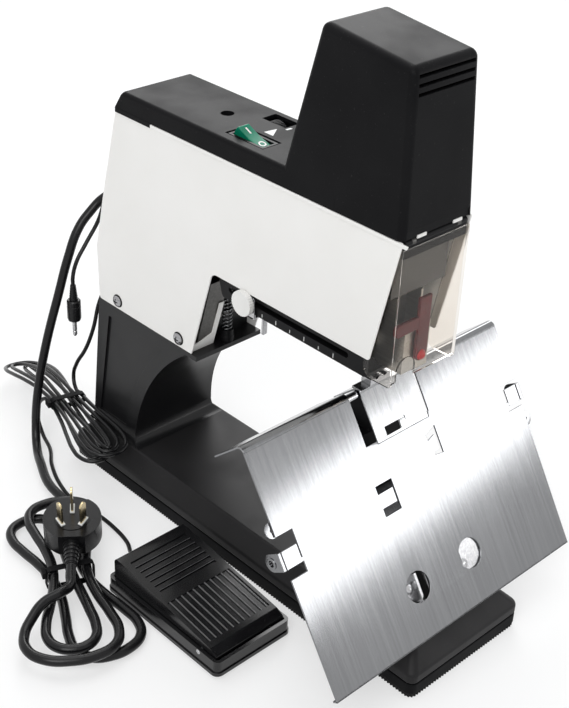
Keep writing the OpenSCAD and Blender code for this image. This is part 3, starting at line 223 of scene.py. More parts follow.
def prism_z(work, outline, z0, z1):
    return drawn_out(work, [(x, y, z0) for x, y in outline], (0, 0, z1 - z0))


def block(work, x, y, z, place=Matrix.Identity(4)):
    middle = Matrix.Translation((sum(x) / 2, sum(y) / 2, sum(z) / 2))
    size = Matrix.Diagonal((x[1] - x[0], y[1] - y[0], z[1] - z[0], 1))
    return bmesh.ops.create_cube(work, size=1, matrix=place @ middle @ size)["verts"]


def sheet_with_holes(work, outer, holes, low, high, place=Matrix.Identity(4)):
    """flat sheet filled between its rings, given its thickness and brought to a place"""
    edges = []
    for ring in [outer] + holes:
        dots = [work.verts.new((a, b, low)) for a, b in ring]
        edges += [work.edges.new((dot, dots[k - 1])) for k, dot in enumerate(dots)]
    filled = bmesh.ops.triangle_fill(work, use_beauty=True, use_dissolve=False, edges=edges)["geom"]
    faces = [item for item in filled if isinstance(item, bmesh.types.BMFace)]
    verts = list({vert for face in faces for vert in face.verts})
    moved(work, place, verts + grown(work, faces, (0, 0, high - low)))


def joined_to(dot):
    """every vertex that hangs together with a given one"""
    found = {dot}
    queue = [dot]
    while queue:
        vert = queue.pop()
        for edge in vert.link_edges:
            other = edge.other_vert(vert)
            if other not in found:
                found.add(other)
                queue.append(other)
    return list(found)


def turned(work, profile, place, steps=32):
    """spins a profile of (radius, height) points round the Z axis of a place"""
    dots = [work.verts.new((r, 0, h)) for r, h in profile]
    edges = [work.edges.new(pair) for pair in zip(dots, dots[1:])]
    bmesh.ops.spin(work, geom=dots + edges, cent=(0, 0, 0), axis=(0, 0, 1), dvec=(0, 0, 0),
                   angle=math.tau, steps=steps, use_merge=True)
    verts = joined_to(dots[0])
    bmesh.ops.remove_doubles(work, verts=verts, dist=0.001)
    moved(work, place, [vert for vert in verts if vert.is_valid])


def tube(inner, outer, low, high):
    """closed profile of a ring"""
    return [(inner, low), (outer, low), (outer, high), (inner, high), (inner, low)]


def pan_head(radius, height):
    """profile of a round-topped screw head"""
    dome = (radius * radius + height * height / 4) / height
    low = math.degrees(math.asin((dome - height / 2) / dome))
    return [(0, -0.3), (radius, -0.3)] + arc((0, height - dome), dome, low, 89.9, 6) + [(0, height)]


def rod(work, way, at, radius, length, steps=32):
    turned(work, [(0, 0), (radius, 0), (radius, length), (0, length)], facing(way, at), steps)


def ribbed_sleeve(work, place, wide, narrow, length, ribs, steps=28):
    """strain relief: a cone cut by ring grooves"""
    pitch = length / ribs
    profile = [(0, 0)]
    for k in range(ribs):
        radius = wide + (narrow - wide) * (k + 0.5) / ribs
        low = k * pitch
        profile += [(radius, low), (radius, low + 0.62 * pitch), (0.86 * radius, low + 0.66 * pitch),
                    (0.86 * radius, low + 0.96 * pitch)]
    turned(work, profile + [(0.86 * narrow, length), (0, length)], place, steps)


def coil(work, at, way, radius, wire, curls, length, per_curl=20, sides=8):
    """spring wire: a small ring spun upwards round the axis"""
    ring = [work.verts.new((x, 0, z)) for x, z in circle((radius, 0), wire / 2, sides)]
    steps = curls * per_curl
    bmesh.ops.spin(work, geom=[work.faces.new(ring)], cent=(0, 0, 0), axis=(0, 0, 1),
                   dvec=(0, 0, length / steps), angle=math.tau * curls, steps=steps)
    moved(work, facing(way, at), joined_to(ring[0]))


def mesh_from(work, name):
    mesh = bpy.data.meshes.new(name)
    bmesh.ops.recalc_face_normals(work, faces=work.faces)
    work.to_mesh(mesh)
    work.free()
    return mesh


def shown(name, data):
    thing = bpy.data.objects.new(name, data)
    scene.collection.objects.link(thing)
    return thing


def carved(body, tool, kind="DIFFERENCE"):
    """cuts one shape out of another, or joins the two"""
    host = shown("host", mesh_from(body, "host"))
    other = shown("tool", mesh_from(tool, "tool"))
    step = host.modifiers.new("carve", "BOOLEAN")
    step.object = other
    step.operation = kind
    step.solver = "EXACT"
    step.use_self = True
    seen = host.evaluated_get(bpy.context.evaluated_depsgraph_get())
    done = bpy.data.meshes.new_from_object(seen)
    result = bmesh.new()
    result.from_mesh(done)
    for thing in (host, other):
        mesh = thing.data
        bpy.data.objects.remove(thing)
        bpy.data.meshes.remove(mesh)
    bpy.data.meshes.remove(done)
    bmesh.ops.remove_doubles(result, verts=result.verts, dist=0.004)
    bmesh.ops.dissolve_degenerate(result, edges=result.edges, dist=0.004)
    return result


def handed(piece, body, nodes):
    """gives a piece its body and the nodes that it stands for"""
    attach(piece, body)
    if nodes:
        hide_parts(*nodes)
    return piece


# every finish by its name
FINISHES = {}


def finished(name, work, body, slot, nodes=(), edge=0.4, steps=2, crease=32, look=None):
    """brings a shape to metres, softens its edges and hands it over; a look differs from the slot's own"""
    bmesh.ops.scale(work, vec=(MM, MM, MM), verts=work.verts)
    for face in work.faces:
        face.smooth = True
    piece = shown(name, mesh_from(work, name))
    piece.data.materials.append(FINISHES[look or slot])
    if edge > 0:
        soft = piece.modifiers.new("soft edges", "BEVEL")
        soft.width = edge * MM
        soft.segments = steps
        soft.limit_method = "ANGLE"
        soft.angle_limit = math.radians(crease)
        soft.use_clamp_overlap = True
        level = piece.modifiers.new("level faces", "WEIGHTED_NORMAL")
        level.keep_sharp = True
    else:
        piece.data.set_sharp_from_angle(angle=math.radians(crease))
    return handed(piece, body, nodes)


# small helpers for finishes

def put(tree, socket, value):
    """links a socket to another one, or sets its value"""
    if isinstance(value, bpy.types.NodeSocket):
        tree.links.new(value, socket)
    else:
        socket.default_value = value


def fed(tree, node, **given):
    """fills inputs of a node; an underscore stands for a space of the label"""
    for label, value in given.items():
        put(tree, node.inputs[label.replace("_", " ")], value)
    return node


def added(tree, kind, setting=None, choice=None, **given):
    """new node with one of its settings chosen and its inputs filled"""
    node = tree.nodes.new("ShaderNode" + kind)
    if setting:
        setattr(node, setting, choice)
    return fed(tree, node, **given)


def group_in(tree, group, **given):
    return added(tree, "Group", "node_tree", group, **given)


def noise_in(tree, where, scale, detail):
    return added(tree, "TexNoise", Vector=where, Scale=scale, Detail=detail).outputs["Fac"]


def math_in(tree, kind, *values):
    node = added(tree, "Math", "operation", kind)
    for socket, value in zip(node.inputs, values):
        put(tree, socket, value)
    return node.outputs[0]


def spread_in(tree, value, low, high, out_low=0.0, out_high=1.0):
    node = added(tree, "MapRange", Value=value, From_Min=low, From_Max=high, To_Min=out_low, To_Max=out_high)
    return node.outputs[0]


def two_tones(tree, mask, low, high):
    """mix of two colours, each of them a tone or a socket"""
    low, high = ((*tone, 1) if isinstance(tone, tuple) else tone for tone in (low, high))
    return added(tree, "Mix", "data_type", "RGBA", Factor=mask, A=low, B=high).outputs["Result"]


def bump_in(tree, shader, height, strength, depth):
    bump = added(tree, "Bump", Strength=strength, Distance=depth, Height=height)
    tree.links.new(bump.outputs["Normal"], shader.inputs["Normal"])


def mixed_out(tree, share, first, second, out):
    """mix of two shaders, led to an output"""
    mix = added(tree, "MixShader")
    for socket, source in zip(mix.inputs, (share, first.outputs[0], second.outputs[0])):
        tree.links.new(source, socket)
    tree.links.new(mix.outputs[0], tree.nodes[out].inputs["Surface"])


# shared effects of the finishes

def new_group(name, inputs, outputs):
    group = bpy.data.node_groups.new(name, "ShaderNodeTree")
    for label, kind, value in inputs:
        socket = group.interface.new_socket(label, in_out="INPUT", socket_type=kind)
        if value:
            socket.default_value = value
    for label in outputs:
        group.interface.new_socket(label, in_out="OUTPUT", socket_type="NodeSocketFloat")
    return group, group.nodes.new("NodeGroupInput").outputs, group.nodes.new("NodeGroupOutput")


def noise_group(name, layers):
    """noises, each with its output, the label and value of its scale, its detail and the range spread out"""
    inputs = [(label, "NodeSocketFloat", scale) for _, label, scale, _, _ in layers]
    group, given, out = new_group(name, inputs, [layer[0] for layer in layers])
    place = added(group, "TexCoord").outputs["Object"]
    for result, label, _, detail, spread in layers:
        noise = noise_in(group, place, given[label], detail)
        put(group, out.inputs[result], spread_in(group, noise, *spread) if spread else noise)
    return group


def brushed_group():
    """long rolling streaks along Y of the given place, fine across X"""
    inputs = [("Place", "NodeSocketVector", None)]
    group, given, out = new_group("brushed_streaks", inputs, ["Streak", "Band"])
    stretch = added(group, "Mapping", Scale=(1.0, 0.012, 1.0), Vector=given["Place"]).outputs["Vector"]
    streak = noise_in(group, stretch, 2600.0, 4.0)
    band = noise_in(group, stretch, 700.0, 3.0)
    fed(group, out, Streak=spread_in(group, streak, 0.25, 0.75), Band=spread_in(group, band, 0.3, 0.7))
    return group


# fine pits of a moulded skin with slow clouds of tone, and smudges from hands with a thin scatter of dust
MOULDED = noise_group("moulded_grain", [("Height", "Grain Scale", 900.0, 2.0, None),
                                        ("Cloud", "Cloud Scale", 18.0, 4.0, (0.3, 0.7))])
HANDLED = noise_group("handling", [("Smudge", "Smudge Scale", 30.0, 5.0, (0.45, 0.7)),
                                   ("Dust", "Dust Scale", 700.0, 2.0, (0.68, 0.78))])
BRUSHED = brushed_group()
DUST_TONE = (0.45, 0.44, 0.42)


def new_finish(name):
    finish = bpy.data.materials.new(name)
    finish.use_nodes = True
    FINISHES[name] = finish
    return finish.node_tree, finish.node_tree.nodes["Principled BSDF"]


def plastic(name, tone, lighter, rough, grain, depth, shine, coat=0.0, dust=0.04):
    """moulded plastic or rubber with grain, clouds of tone and a little dust"""
    tree, shader = new_finish(name)
    grains = group_in(tree, MOULDED, Grain_Scale=grain).outputs
    marks = group_in(tree, HANDLED).outputs
    cloudy = two_tones(tree, grains["Cloud"], tone, lighter)
    dusty = two_tones(tree, math_in(tree, "MULTIPLY", marks["Dust"], dust), cloudy, DUST_TONE)
    worn = spread_in(tree, marks["Smudge"], 0, 1, rough, rough + 0.1)
    fed(tree, shader, Base_Color=dusty, Roughness=worn, Specular_IOR_Level=shine, Coat_Weight=coat,
        Coat_Roughness=0.12)
    bump_in(tree, shader, grains["Height"], 0.35, depth)


def metal(name, tone, brighter, rough, fall=0.0, streak_depth=6e-6):
    """brushed or drawn metal; fall turns the streaks down a slope"""
    tree, shader = new_finish(name)
    place = added(tree, "Mapping", Rotation=(math.radians(-fall), 0, 0),
                  Vector=added(tree, "TexCoord").outputs["Object"])
    lines = group_in(tree, BRUSHED, Place=place.outputs["Vector"]).outputs
    marks = group_in(tree, HANDLED).outputs
    rubbed = math_in(tree, "ADD", math_in(tree, "MULTIPLY", lines["Streak"], 0.03),
                     math_in(tree, "MULTIPLY", marks["Smudge"], 0.02))
    fed(tree, shader, Base_Color=two_tones(tree, lines["Band"], tone, brighter),
        Roughness=math_in(tree, "ADD", rubbed, rough), Metallic=1.0)
    bump_in(tree, shader, lines["Streak"], 0.3, streak_depth)


def rocker_plastic():
    """translucent green key"""
    tree, shader = new_finish("rocker_green")
    grains = group_in(tree, MOULDED, Grain_Scale=600.0, Cloud_Scale=60.0).outputs
    green = two_tones(tree, grains["Cloud"], (0.0, 0.13, 0.07), (0.0, 0.2, 0.115))
    fed(tree, shader, Base_Color=green, Roughness=0.18, Subsurface_Weight=0.25,
        Subsurface_Radius=(0.0008, 0.002, 0.0012), Specular_IOR_Level=0.25)
    bump_in(tree, shader, grains["Height"], 0.15, 2e-5)


def guard_plastic():
    """smoked clear sheet with faint flow marks"""
    tree, shader = new_finish("guard_clear")
    grains = group_in(tree, MOULDED, Grain_Scale=220.0, Cloud_Scale=25.0).outputs
    smoke = two_tones(tree, grains["Cloud"], (0.9, 0.865, 0.82), (0.94, 0.91, 0.87))
    fed(tree, shader, Base_Color=smoke, Roughness=spread_in(tree, grains["Cloud"], 0, 1, 0.03, 0.08),
        Transmission_Weight=1.0, IOR=1.14, Coat_Weight=0.15)
    bump_in(tree, shader, grains["Height"], 0.05, 2e-5)


# finishes of the stapler: name, two tones, roughness, size and depth of the grain, shine, coat and dust

COAL = (0.0042, 0.0042, 0.0048)
SOOT = (0.0075, 0.0075, 0.0082)
PLASTICS = (
    ("mat_rubber", (0.009, 0.009, 0.009), (0.014, 0.014, 0.014), 0.6, 500, 12e-5, 0.12),
    ("pan_black", COAL, SOOT, 0.5, 1100, 3e-5, 0.05),
    ("base_grey", (0.013, 0.0126, 0.0132), (0.019, 0.0185, 0.0192), 0.4, 1000, 4e-5, 0.12),
    ("column_black", COAL, SOOT, 0.28, 1100, 2e-5, 0.28),
    ("cover_white", (0.79, 0.78, 0.755), (0.82, 0.81, 0.79), 0.3, 260, 1e-5, 0.4, 0.25, 0.0),
    ("top_black", COAL, SOOT, 0.4, 1500, 3e-5, 0.06),
    ("fitting_black", COAL, SOOT, 0.35, 1500, 2e-5, 0.1),
    ("gland_rubber", COAL, SOOT, 0.6, 700, 5e-5, 0.1),
    ("dial_black", (0.012, 0.012, 0.013), (0.018, 0.018, 0.019), 0.45, 1500, 2e-5, 0.2),
    ("arm_black", COAL, SOOT, 0.38, 1800, 1e-5, 0.12),
    ("post_black", COAL, SOOT, 0.45, 1500, 2e-5, 0.1),
    ("knob_white", (0.74, 0.735, 0.715), (0.79, 0.785, 0.765), 0.35, 900, 1e-5, 0.4, 0.1, 0.0),
    ("latch_red", (0.075, 0.004, 0.007), (0.11, 0.006, 0.009), 0.35, 900, 1e-5, 0.3, 0.1, 0.0),
    ("tip_red", (0.42, 0.012, 0.016), (0.5, 0.016, 0.02), 0.3, 900, 1e-5, 0.3, 0.1, 0.0),
    ("pedal_black", COAL, SOOT, 0.16, 1200, 1e-5, 0.45),
    # the pedal's ridges get a lighter grey than the tread: painted highlight on their crests
    ("ridge_painted_highlight", (0.07, 0.07, 0.073), (0.1, 0.1, 0.103), 0.22, 1200, 1e-5, 0.5),
    ("lead_black", COAL, SOOT, 0.22, 1500, 1e-5, 0.24),
    ("board_green", (0.03, 0.14, 0.07), (0.04, 0.17, 0.09), 0.4, 700, 2e-5, 0.4),
    ("mark_white", (0.72, 0.73, 0.72), (0.8, 0.8, 0.79), 0.5, 900, 1e-5, 0.3, 0.0, 0.0))
# name, two tones, roughness, and for the sloping sheets the fall and depth of the streaks
METALS = (
    ("screw_chrome", (0.3, 0.3, 0.31), (0.38, 0.38, 0.39), 0.07),
    ("screw_steel", (0.3, 0.3, 0.31), (0.4, 0.4, 0.4), 0.32),
    ("chassis_steel", (0.09, 0.088, 0.085), (0.13, 0.127, 0.122), 0.4),
    ("yoke_iron", (0.1, 0.1, 0.105), (0.15, 0.15, 0.155), 0.42),
    ("coil_copper", (0.45, 0.2, 0.1), (0.56, 0.27, 0.14), 0.35),
    ("drive_steel", (0.4, 0.4, 0.41), (0.5, 0.5, 0.51), 0.22),
    ("magazine_steel", (0.36, 0.335, 0.3), (0.45, 0.42, 0.38), 0.3),
    ("staple_steel", (0.5, 0.5, 0.51), (0.6, 0.6, 0.61), 0.2),
    ("spring_steel", (0.12, 0.12, 0.125), (0.2, 0.2, 0.205), 0.25),
    ("stop_steel", (0.4, 0.4, 0.41), (0.52, 0.52, 0.53), 0.2),
    ("anvil_steel", (0.27, 0.274, 0.28), (0.32, 0.324, 0.33), 0.12, TABLE_FALL, 1e-5),
    ("table_steel", (0.205, 0.208, 0.215), (0.24, 0.243, 0.25), 0.11, TABLE_FALL, 1e-5),
    ("pin_steel", (0.45, 0.45, 0.46), (0.56, 0.56, 0.57), 0.18),
    ("plug_brass", (0.5, 0.41, 0.24), (0.6, 0.5, 0.31), 0.2))

for look in PLASTICS:
    plastic(*look)
for look in METALS:
    metal(*look)
rocker_plastic()
guard_plastic()

# camera at the photograph's place
EYE = Vector((-531.66, -527.34, 604.22)) * MM
AZIMUTH, ELEVATION, ROLL = -45.05, 31.4, 2.8
FOCAL_PIXELS = 1341.13
FRAME_HEIGHT = 708
SENSOR = 36.0


def set_camera():
    camera = shown("camera", bpy.data.cameras.new("camera"))
    aim = turn_about("Z", AZIMUTH) @ turn_about("X", 90 - ELEVATION) @ turn_about("Z", ROLL)
    camera.matrix_world = Matrix.Translation(EYE) @ aim
    camera.data.sensor_width = SENSOR
    camera.data.lens = FOCAL_PIXELS * SENSOR / FRAME_HEIGHT
    camera.data.clip_start = 0.01
    scene.camera = camera


def soft_lamp(name, at, aim, size, power, lean=0):
    lamp = shown(name, bpy.data.lights.new(name, "AREA"))
    lamp.data.shape = "RECTANGLE"
    lamp.data.size, lamp.data.size_y = size
    lamp.data.energy = power
    lamp.location = at
    turn = (Vector(aim) - Vector(at)).to_track_quat("-Z", "Y").to_matrix()
    lamp.rotation_euler = (turn @ Matrix.Rotation(math.radians(lean), 3, "Z")).to_euler()


def seen_directly(tree):
    """1 for rays that show the background: straight, mirrored or through clear plastic"""
    path = added(tree, "LightPath").outputs
    plain = math_in(tree, "MAXIMUM", path["Is Camera Ray"], path["Is Glossy Ray"])
    return math_in(tree, "MAXIMUM", plain, path["Is Transmission Ray"])


def set_studio():
    world = bpy.data.worlds.new("studio")
    scene.world = world
    world.use_nodes = True
    tree = world.node_tree
    light = fed(tree, tree.nodes["Background"], Color=(0.97, 0.985, 1.0, 1), Strength=0.5)
    white = added(tree, "Background", Color=(1, 1, 1, 1))
    mixed_out(tree, seen_directly(tree), light, white, "World Output")
    soft_lamp("window_left", (-1.5, -0.9, 1.5), (0, 0, 0.15), (1.2, 1.2), 22)
    soft_lamp("window_front_right", (0.945, -1.226, 0.462), (0, -0.12, 0.1), (0.7, 0.18), 2.3, -2)
    soft_lamp("window_back_right", (0.97, 0.97, 1.13), (0, 0, 0.2), (0.9, 0.9), 12)
    soft_lamp("ceiling", (0.1, 0.3, 1.9), (0, 0, 0.1), (1.4, 1.4), 12)


def set_floor():
    work = bmesh.new()
    bmesh.ops.create_grid(work, x_segments=1, y_segments=1, size=6)
    floor = shown("floor", mesh_from(work, "floor"))
    tree, shader = new_finish("paper_white")
    fed(tree, shader, Base_Color=(0.9, 0.9, 0.9, 1), Roughness=0.9, Specular_IOR_Level=0.0)
    glow = added(tree, "Emission", Strength=1.0)
    mixed_out(tree, math_in(tree, "MULTIPLY", seen_directly(tree), 0.55), shader, glow, "Material Output")
    floor.data.materials.append(FINISHES["paper_white"])
    floor.location.z = -0.0002


set_camera()
set_studio()
set_floor()

# cords: the routes of the part's source, in its own millimetres

MAINS_ROUTE = [(4, 179, 195), (4, 182.4, 195), (4, 185.8, 195), (-1, 196, 188), (-10, 200, 178.5),
               (-20, 201, 168), (-31, 201, 146), (-40, 200, 124), (-56, 200, 78), (-66, 199, 40),
               (-70, 197, 16), (-76, 188, 5.2), (-86, 168, 4.8), (-95, 146, 4.8)]
MAINS_HANK = dict(turns=(0.27, 2.5, 5.27), sense=-1, reach=(70, -2), belly=10, waist=3.8, step=MAINS_D + 2.8,
                  fan=-9, lift=MAINS_D + 0.7, droop=(0, 0), mid=(-147, 51), turn=68, floor=MAINS_D / 2 + 1.4)
PEDAL_EXIT = (-100, PEDAL[1] + PEDAL_L / 2 + 6, 8)
PEDAL_ROUTE_A = [PEDAL_EXIT, (-100, PEDAL_EXIT[1] + 1.5, 8), (-100, PEDAL_EXIT[1] + 3, 8), (-97, 46, 3.5),
                 (-91, 58, 1.8), (-88, 77, 1.8), (-88, 97, 1.8), (-91, 119, 1.8), (-89, 136, 1.8),
                 (-78, 166, 1.8), (-67, 184, 1.8), (-61, 203, 5), (-58, 212, 16), (-56, 209, 29)]
PEDAL_ROUTE_B = [(-32, 199, 46), (-31, 196, 58), (-27, 189, 73), (-22, 185, 91), (-16, 184, 113),
                 (-4, 182, 135), (9, 182, 160), (12.5, 184, 183), (8.5, 186, 197), (3, 187, 200.6),
                 (-4, 188.5, 191), (-10, 191, 174), (-21, 192, 158.5), (-30, 192, 146), (-33.6, 192, 134),
                 (-33.6, 192, 131.5), (-33.6, 192, 129)]
PEDAL_HANK = dict(turns=(0.5, 4.5, 9.5), sense=1, reach=(82, 13), belly=1, waist=1.9, step=PEDAL_D + 1.2,
                  fan=-4, lift=PEDAL_D + 0.9, droop=(0.0005, 0.0024), mid=(-48, 187), turn=76, floor=34.3)
POINTS_PER_LOOP = 24
PLUG_SPOT = Vector((-127.6, 69.5, 28.5))
PLUG_TURN, PLUG_TILT = 52, 8
PLUG_R, PLUG_T = 19.5, 17.0
RELIEF_L = 18.0
PLUG_BACK = PLUG_R - 2
PLUG_PLACE = Matrix.Translation(PLUG_SPOT) @ turn_about("Z", PLUG_TURN) @ turn_about("Y", -PLUG_TILT)
PLUG_WAY = (PLUG_PLACE.to_3x3() @ Vector((1, 0, 0))).normalized()
PLUG_END = PLUG_SPOT - PLUG_WAY * (PLUG_BACK + RELIEF_L)


def eased(share):
    share = max(0.0, min(1.0, share))
    return share * share * (3 - 2 * share)


def hank_point(half_turn, hank):
    """point of a tied hank: loops drawn in at the waist, inwards below and outwards above"""
    middle = hank["turns"][1]
    c, s = math.cos(math.pi * half_turn), math.sin(math.pi * half_turn)
    out = hank["step"] * abs(half_turn - middle) / 2
    up = eased((half_turn - middle) / 0.5 + 0.5)
    along = (hank["reach"][0] + out) * c + hank["reach"][1] * c * c
    across = hank["sense"] * s * (hank["waist"] + out + (hank["belly"] + 0.8 * out) * 2.6 * c * c)
    fan = math.radians(hank["sense"] * hank["fan"] * (1 - 2 * up))
    fall = hank["droop"][1 if along > 0 else 0]
    spot = Vector((along, across, hank["lift"] * up - fall * along * along))
    spot.rotate(Matrix.Rotation(fan + math.radians(hank["turn"]), 3, "Z"))
    return spot + Vector((*hank["mid"], hank["floor"]))


def hank_loops(hank):
    start, _, end = hank["turns"]
    count = round((end - start) / 2 * POINTS_PER_LOOP)
    return [hank_point(start + (end - start) * k / count, hank) for k in range(count + 1)]


# a cord runs on straight from an end for these shares of its diameter
STRAIGHT = (1.2, 2.4)


def straight_on(end, way, diameter):
    return [end + share * diameter * way for share in STRAIGHT]


def lead_in(loops, diameter):
    return straight_on(loops[0], (loops[0] - loops[1]).normalized(), diameter)[::-1]


def lead_out(loops, diameter):
    return straight_on(loops[-1], (loops[-1] - loops[-2]).normalized(), diameter)


def cord_curve(name, route, diameter, nodes):
    curve = bpy.data.curves.new(name, "CURVE")
    curve.dimensions = "3D"
    curve.resolution_u = 6
    curve.bevel_depth = diameter / 2 * MM
    curve.bevel_resolution = 4
    curve.use_fill_caps = True
    line = curve.splines.new("BEZIER")
    line.bezier_points.add(len(route) - 1)
    for dot, spot in zip(line.bezier_points, route):
        dot.co = Vector(spot) * MM
        dot.handle_left_type = "AUTO"
        dot.handle_right_type = "AUTO"
    curve.materials.append(FINISHES["lead_black"])
    return handed(shown(name, curve), "frame", nodes)


MAINS_TAIL = [(-192, 24.5, 16), (-181, 27.5, 20.2), (-170, 26, 22.4)]
MAINS_TAIL += straight_on(PLUG_END, -PLUG_WAY, MAINS_D)[::-1] + [PLUG_END]
mains_loops = hank_loops(MAINS_HANK)
pedal_loops = hank_loops(PEDAL_HANK)
mains_path = MAINS_ROUTE + lead_in(mains_loops, MAINS_D) + mains_loops + MAINS_TAIL
pedal_path = PEDAL_ROUTE_A + lead_in(pedal_loops, PEDAL_D) + pedal_loops
pedal_path += lead_out(pedal_loops, PEDAL_D) + PEDAL_ROUTE_B
mains_cord = cord_curve("mains_cord", mains_path, MAINS_D, ("mains_lead", "mains_hank"))
pedal_cord = cord_curve("pedal_cord", pedal_path, PEDAL_D, ("pedal_lead", "pedal_hank"))


# base: ribbed mat, pan and shouldered shell

def standing_base():
    work = bmesh.new()
    spots = [(x * MAT_HOLE[0], y * MAT_HOLE[1]) for x in (-1, 1) for y in (-1, 0, 1)]
    edge = ribbed(box_outline(103.2, 342.2, 5), 2.4, 0.7)
    sheet_with_holes(work, edge, [circle(spot, 5) for spot in spots], 0, 3)
    finished("base_mat_ribbed", work, "frame", "mat_rubber", ["base_mat"], 0.15, 1)

    outline = box_outline(*BASE, BASE_CORNER, steps=8)
    work = bmesh.new()
    prism_z(work, outline, 3, 10.8)
    finished("base_pan_skin", work, "frame", "pan_black", ["base_pan"], 0.6)

    work = bmesh.new()
    prism_z(work, outline, 11.1, SHOULDER)
    top = max(work.faces, key=lambda face: face.calc_center_median().z)
    rim = grown(work, [top], (0, 0, PLATEAU - SHOULDER))
    bmesh.ops.delete(work, geom=[top], context="FACES_ONLY")
    bmesh.ops.scale(work, vec=(83 / BASE[0], 322 / BASE[1], 1), verts=rim)
    finished("base_shell_skin", work, "frame", "base_grey", ["base_shell"], 1.6, 4, 20)


# column with its throat, sunk side panels and neck

def column_half(z):
    if z < COLUMN_BREAK:
        return COLUMN_FOOT + (COLUMN_BREAK - z)
    return COLUMN_FOOT + (COLUMN_HEAD - COLUMN_FOOT) * (z - COLUMN_BREAK) / (COLUMN_TOP - COLUMN_BREAK)


def throat_column():
    work = bmesh.new()
    outline = [(167, PLATEAU), (166, COLUMN_BREAK), (166, COLUMN_TOP), (57.6, COLUMN_TOP), (57.6, 125.3)]
    outline += arc(THROAT, THROAT_R, 54.5, 3.5, 24) + arc((108.1, 38.8), 9, 0, -90, 6)
    prism_x(work, outline, -1, 1)
    everything = work.verts[:] + work.edges[:] + work.faces[:]
    bmesh.ops.bisect_plane(work, geom=everything, plane_co=(0, 0, COLUMN_BREAK), plane_no=(0, 0, 1))
    for vert in work.verts:
        vert.co.x *= column_half(vert.co.z)
    panels = bmesh.new()
    panel = [(154, 118.8), (159, 38.8), (128.1, 38.8)] + arc(THROAT, THROAT_R + 11, 5, 43.7, 12)
    for side in (-1, 1):
        for vert in prism_x(panels, panel, 0, 1):
            depth = 4 if vert.co.x > 0.5 else -PANEL_SINK
            vert.co.x = side * (column_half(vert.co.z) + depth)
    work = carved(work, panels)
    block(work, (-INNER_HALF, INNER_HALF), (70.5, 158), (COLUMN_TOP - 1, COLUMN_TOP + 13))
    finished("column_body", work, "frame", "column_black", ["column"], 1.3, 3, 40)


# white covers, the bright hem under the deck and the chrome screws

REAR_LINE = [(140.2, COVER_TOP), (158, 209), (166.3, 170), (164.8, COVER_BOTTOM)]
COVER_SCREWS = [(76.1, 135.4), (143.2, 135.6)]
GLAND = (4, 195)
SOCKET = (-14, 222)


def rear_line(first, last):
    """rear edge of the covers, with a radius for each corner"""
    return [(*spot, radius) for spot, radius in zip(REAR_LINE, (first, 60, 30, last))]


def side_cover(node, side, tip):
    work = bmesh.new()
    front = [(62.8, COVER_BOTTOM, 1), (42.9, COVER_LOW, 6), (-95, COVER_LOW, 2), (-112, COVER_TOP, 1)]
    prism_x(work, rounded(rear_line(2, 3) + front, 8), side * (BODY_HALF - SHEET), side * BODY_HALF)
    hem = [(HEM_REAR, 278.7), (HEM_REAR, COVER_TOP), (tip, COVER_TOP), (tip + 1, 278.7)]
    prism_x(work, hem, side * (BODY_HALF - 0.2), side * (BODY_HALF + 0.9))
    finished(node + "_skin", work, "frame", "cover_white", [node], 0.35)


def white_covers():
    side_cover("side_cover_left", -1, -116.5)
    side_cover("side_cover_right", 1, -109.4)
    work = bmesh.new()
    line = rounded(rear_line(0, 0), 8)
    prism_x(work, line + [(y - SHEET, z) for y, z in reversed(line)], -INNER_HALF, INNER_HALF)
    holes = bmesh.new()
    for (x, z), radius in ((GLAND, 7.05), (SOCKET, 5.05)):
        rod(holes, "y", (x, 130, z), radius, 60)
    finished("rear_cover_skin", carved(work, holes), "frame", "cover_white", ["rear_cover"], 0.3)
    work = bmesh.new()
    shade_rings = bmesh.new()
    crosses = bmesh.new()
    for way, side in (("x", 1), ("-x", -1)):
        for y, z in COVER_SCREWS:
            place = facing(way, (side * BODY_HALF, y, z))
            turned(work, pan_head(4.2, 2.6), place, 28)
            # a flat black ring under each head paints the dark shade round the screw
            turned(shade_rings, [(0, -0.2), (4.9, -0.2), (4.9, 0.3), (0, 0.3)], place, 28)
            reach = sorted((side * (BODY_HALF + 0.9), side * (BODY_HALF + 4)))
            block(crosses, reach, (y - 2.2, y + 2.2), (z - 0.45, z + 0.45))
            block(crosses, reach, (y - 0.45, y + 0.45), (z - 2.2, z + 2.2))
    finished("cover_screw_heads", carved(work, crosses), "frame", "screw_chrome", ["cover_screws"], 0.12)
    finished("cover_screw_shade_rings", shade_rings, "frame", "fitting_black", edge=0.1)


# mains gland and the pedal's socket on the back

def back_fittings():
    work = bmesh.new()
    turned(work, [(0, 0), (6.9, 0), (6.9, 5.4), (8, 5.4), (8, 9.6), (7, 11), (6.4, 15), (0, 15)],
           facing("y", (GLAND[0], 155, GLAND[1])), 36)
    ribbed_sleeve(work, facing("y", (GLAND[0], 169.5, GLAND[1])), 6.2, 4.3, 9.5, 4)
    finished("mains_gland", work, "frame", "gland_rubber", ["cord_gland"], 0.25)
    work = bmesh.new()
    socket = [(1.9, 2), (0, 2), (0, 0), (5, 0), (5, 13.6), (6.6, 13.6), (6.6, 15.6), (6.1, 16.1),
              (4.4, 16.1), (4, 15.5), (1.9, 15.5), (1.9, 2)]
    turned(work, socket, facing("y", (SOCKET[0], 143.1, SOCKET[1])), 36)
    finished("pedal_jack_socket", work, "frame", "fitting_black", ["pedal_socket"], 0.15)


# black top cover: deck and tower in one moulding, with its controls

TOWER_LOW = ((-30.1, -112.0), (30.1, -112.0), (30.1, -13.5), (-30.1, -13.5))
TOWER_HIGH = ((-26.3, -106.3, 376.6), (26.3, -106.3, 376.6), (26, -38, TOWER_TOP), (-26, -38, TOWER_TOP))
DECK_REAR = (140.6, 133.0)
WALL = 2.5
ROCKER = (-14.0, 25.0, 289.0)
DIAL = (17.4, 37.5, 283.8)
DECK_HOLE = (0.0, 64.2)
DECK_SCREW = 284.5
VENTS = (360.7, 365.7, 370.7)
HINGE_SLOTS = (-13.4, 16.8)


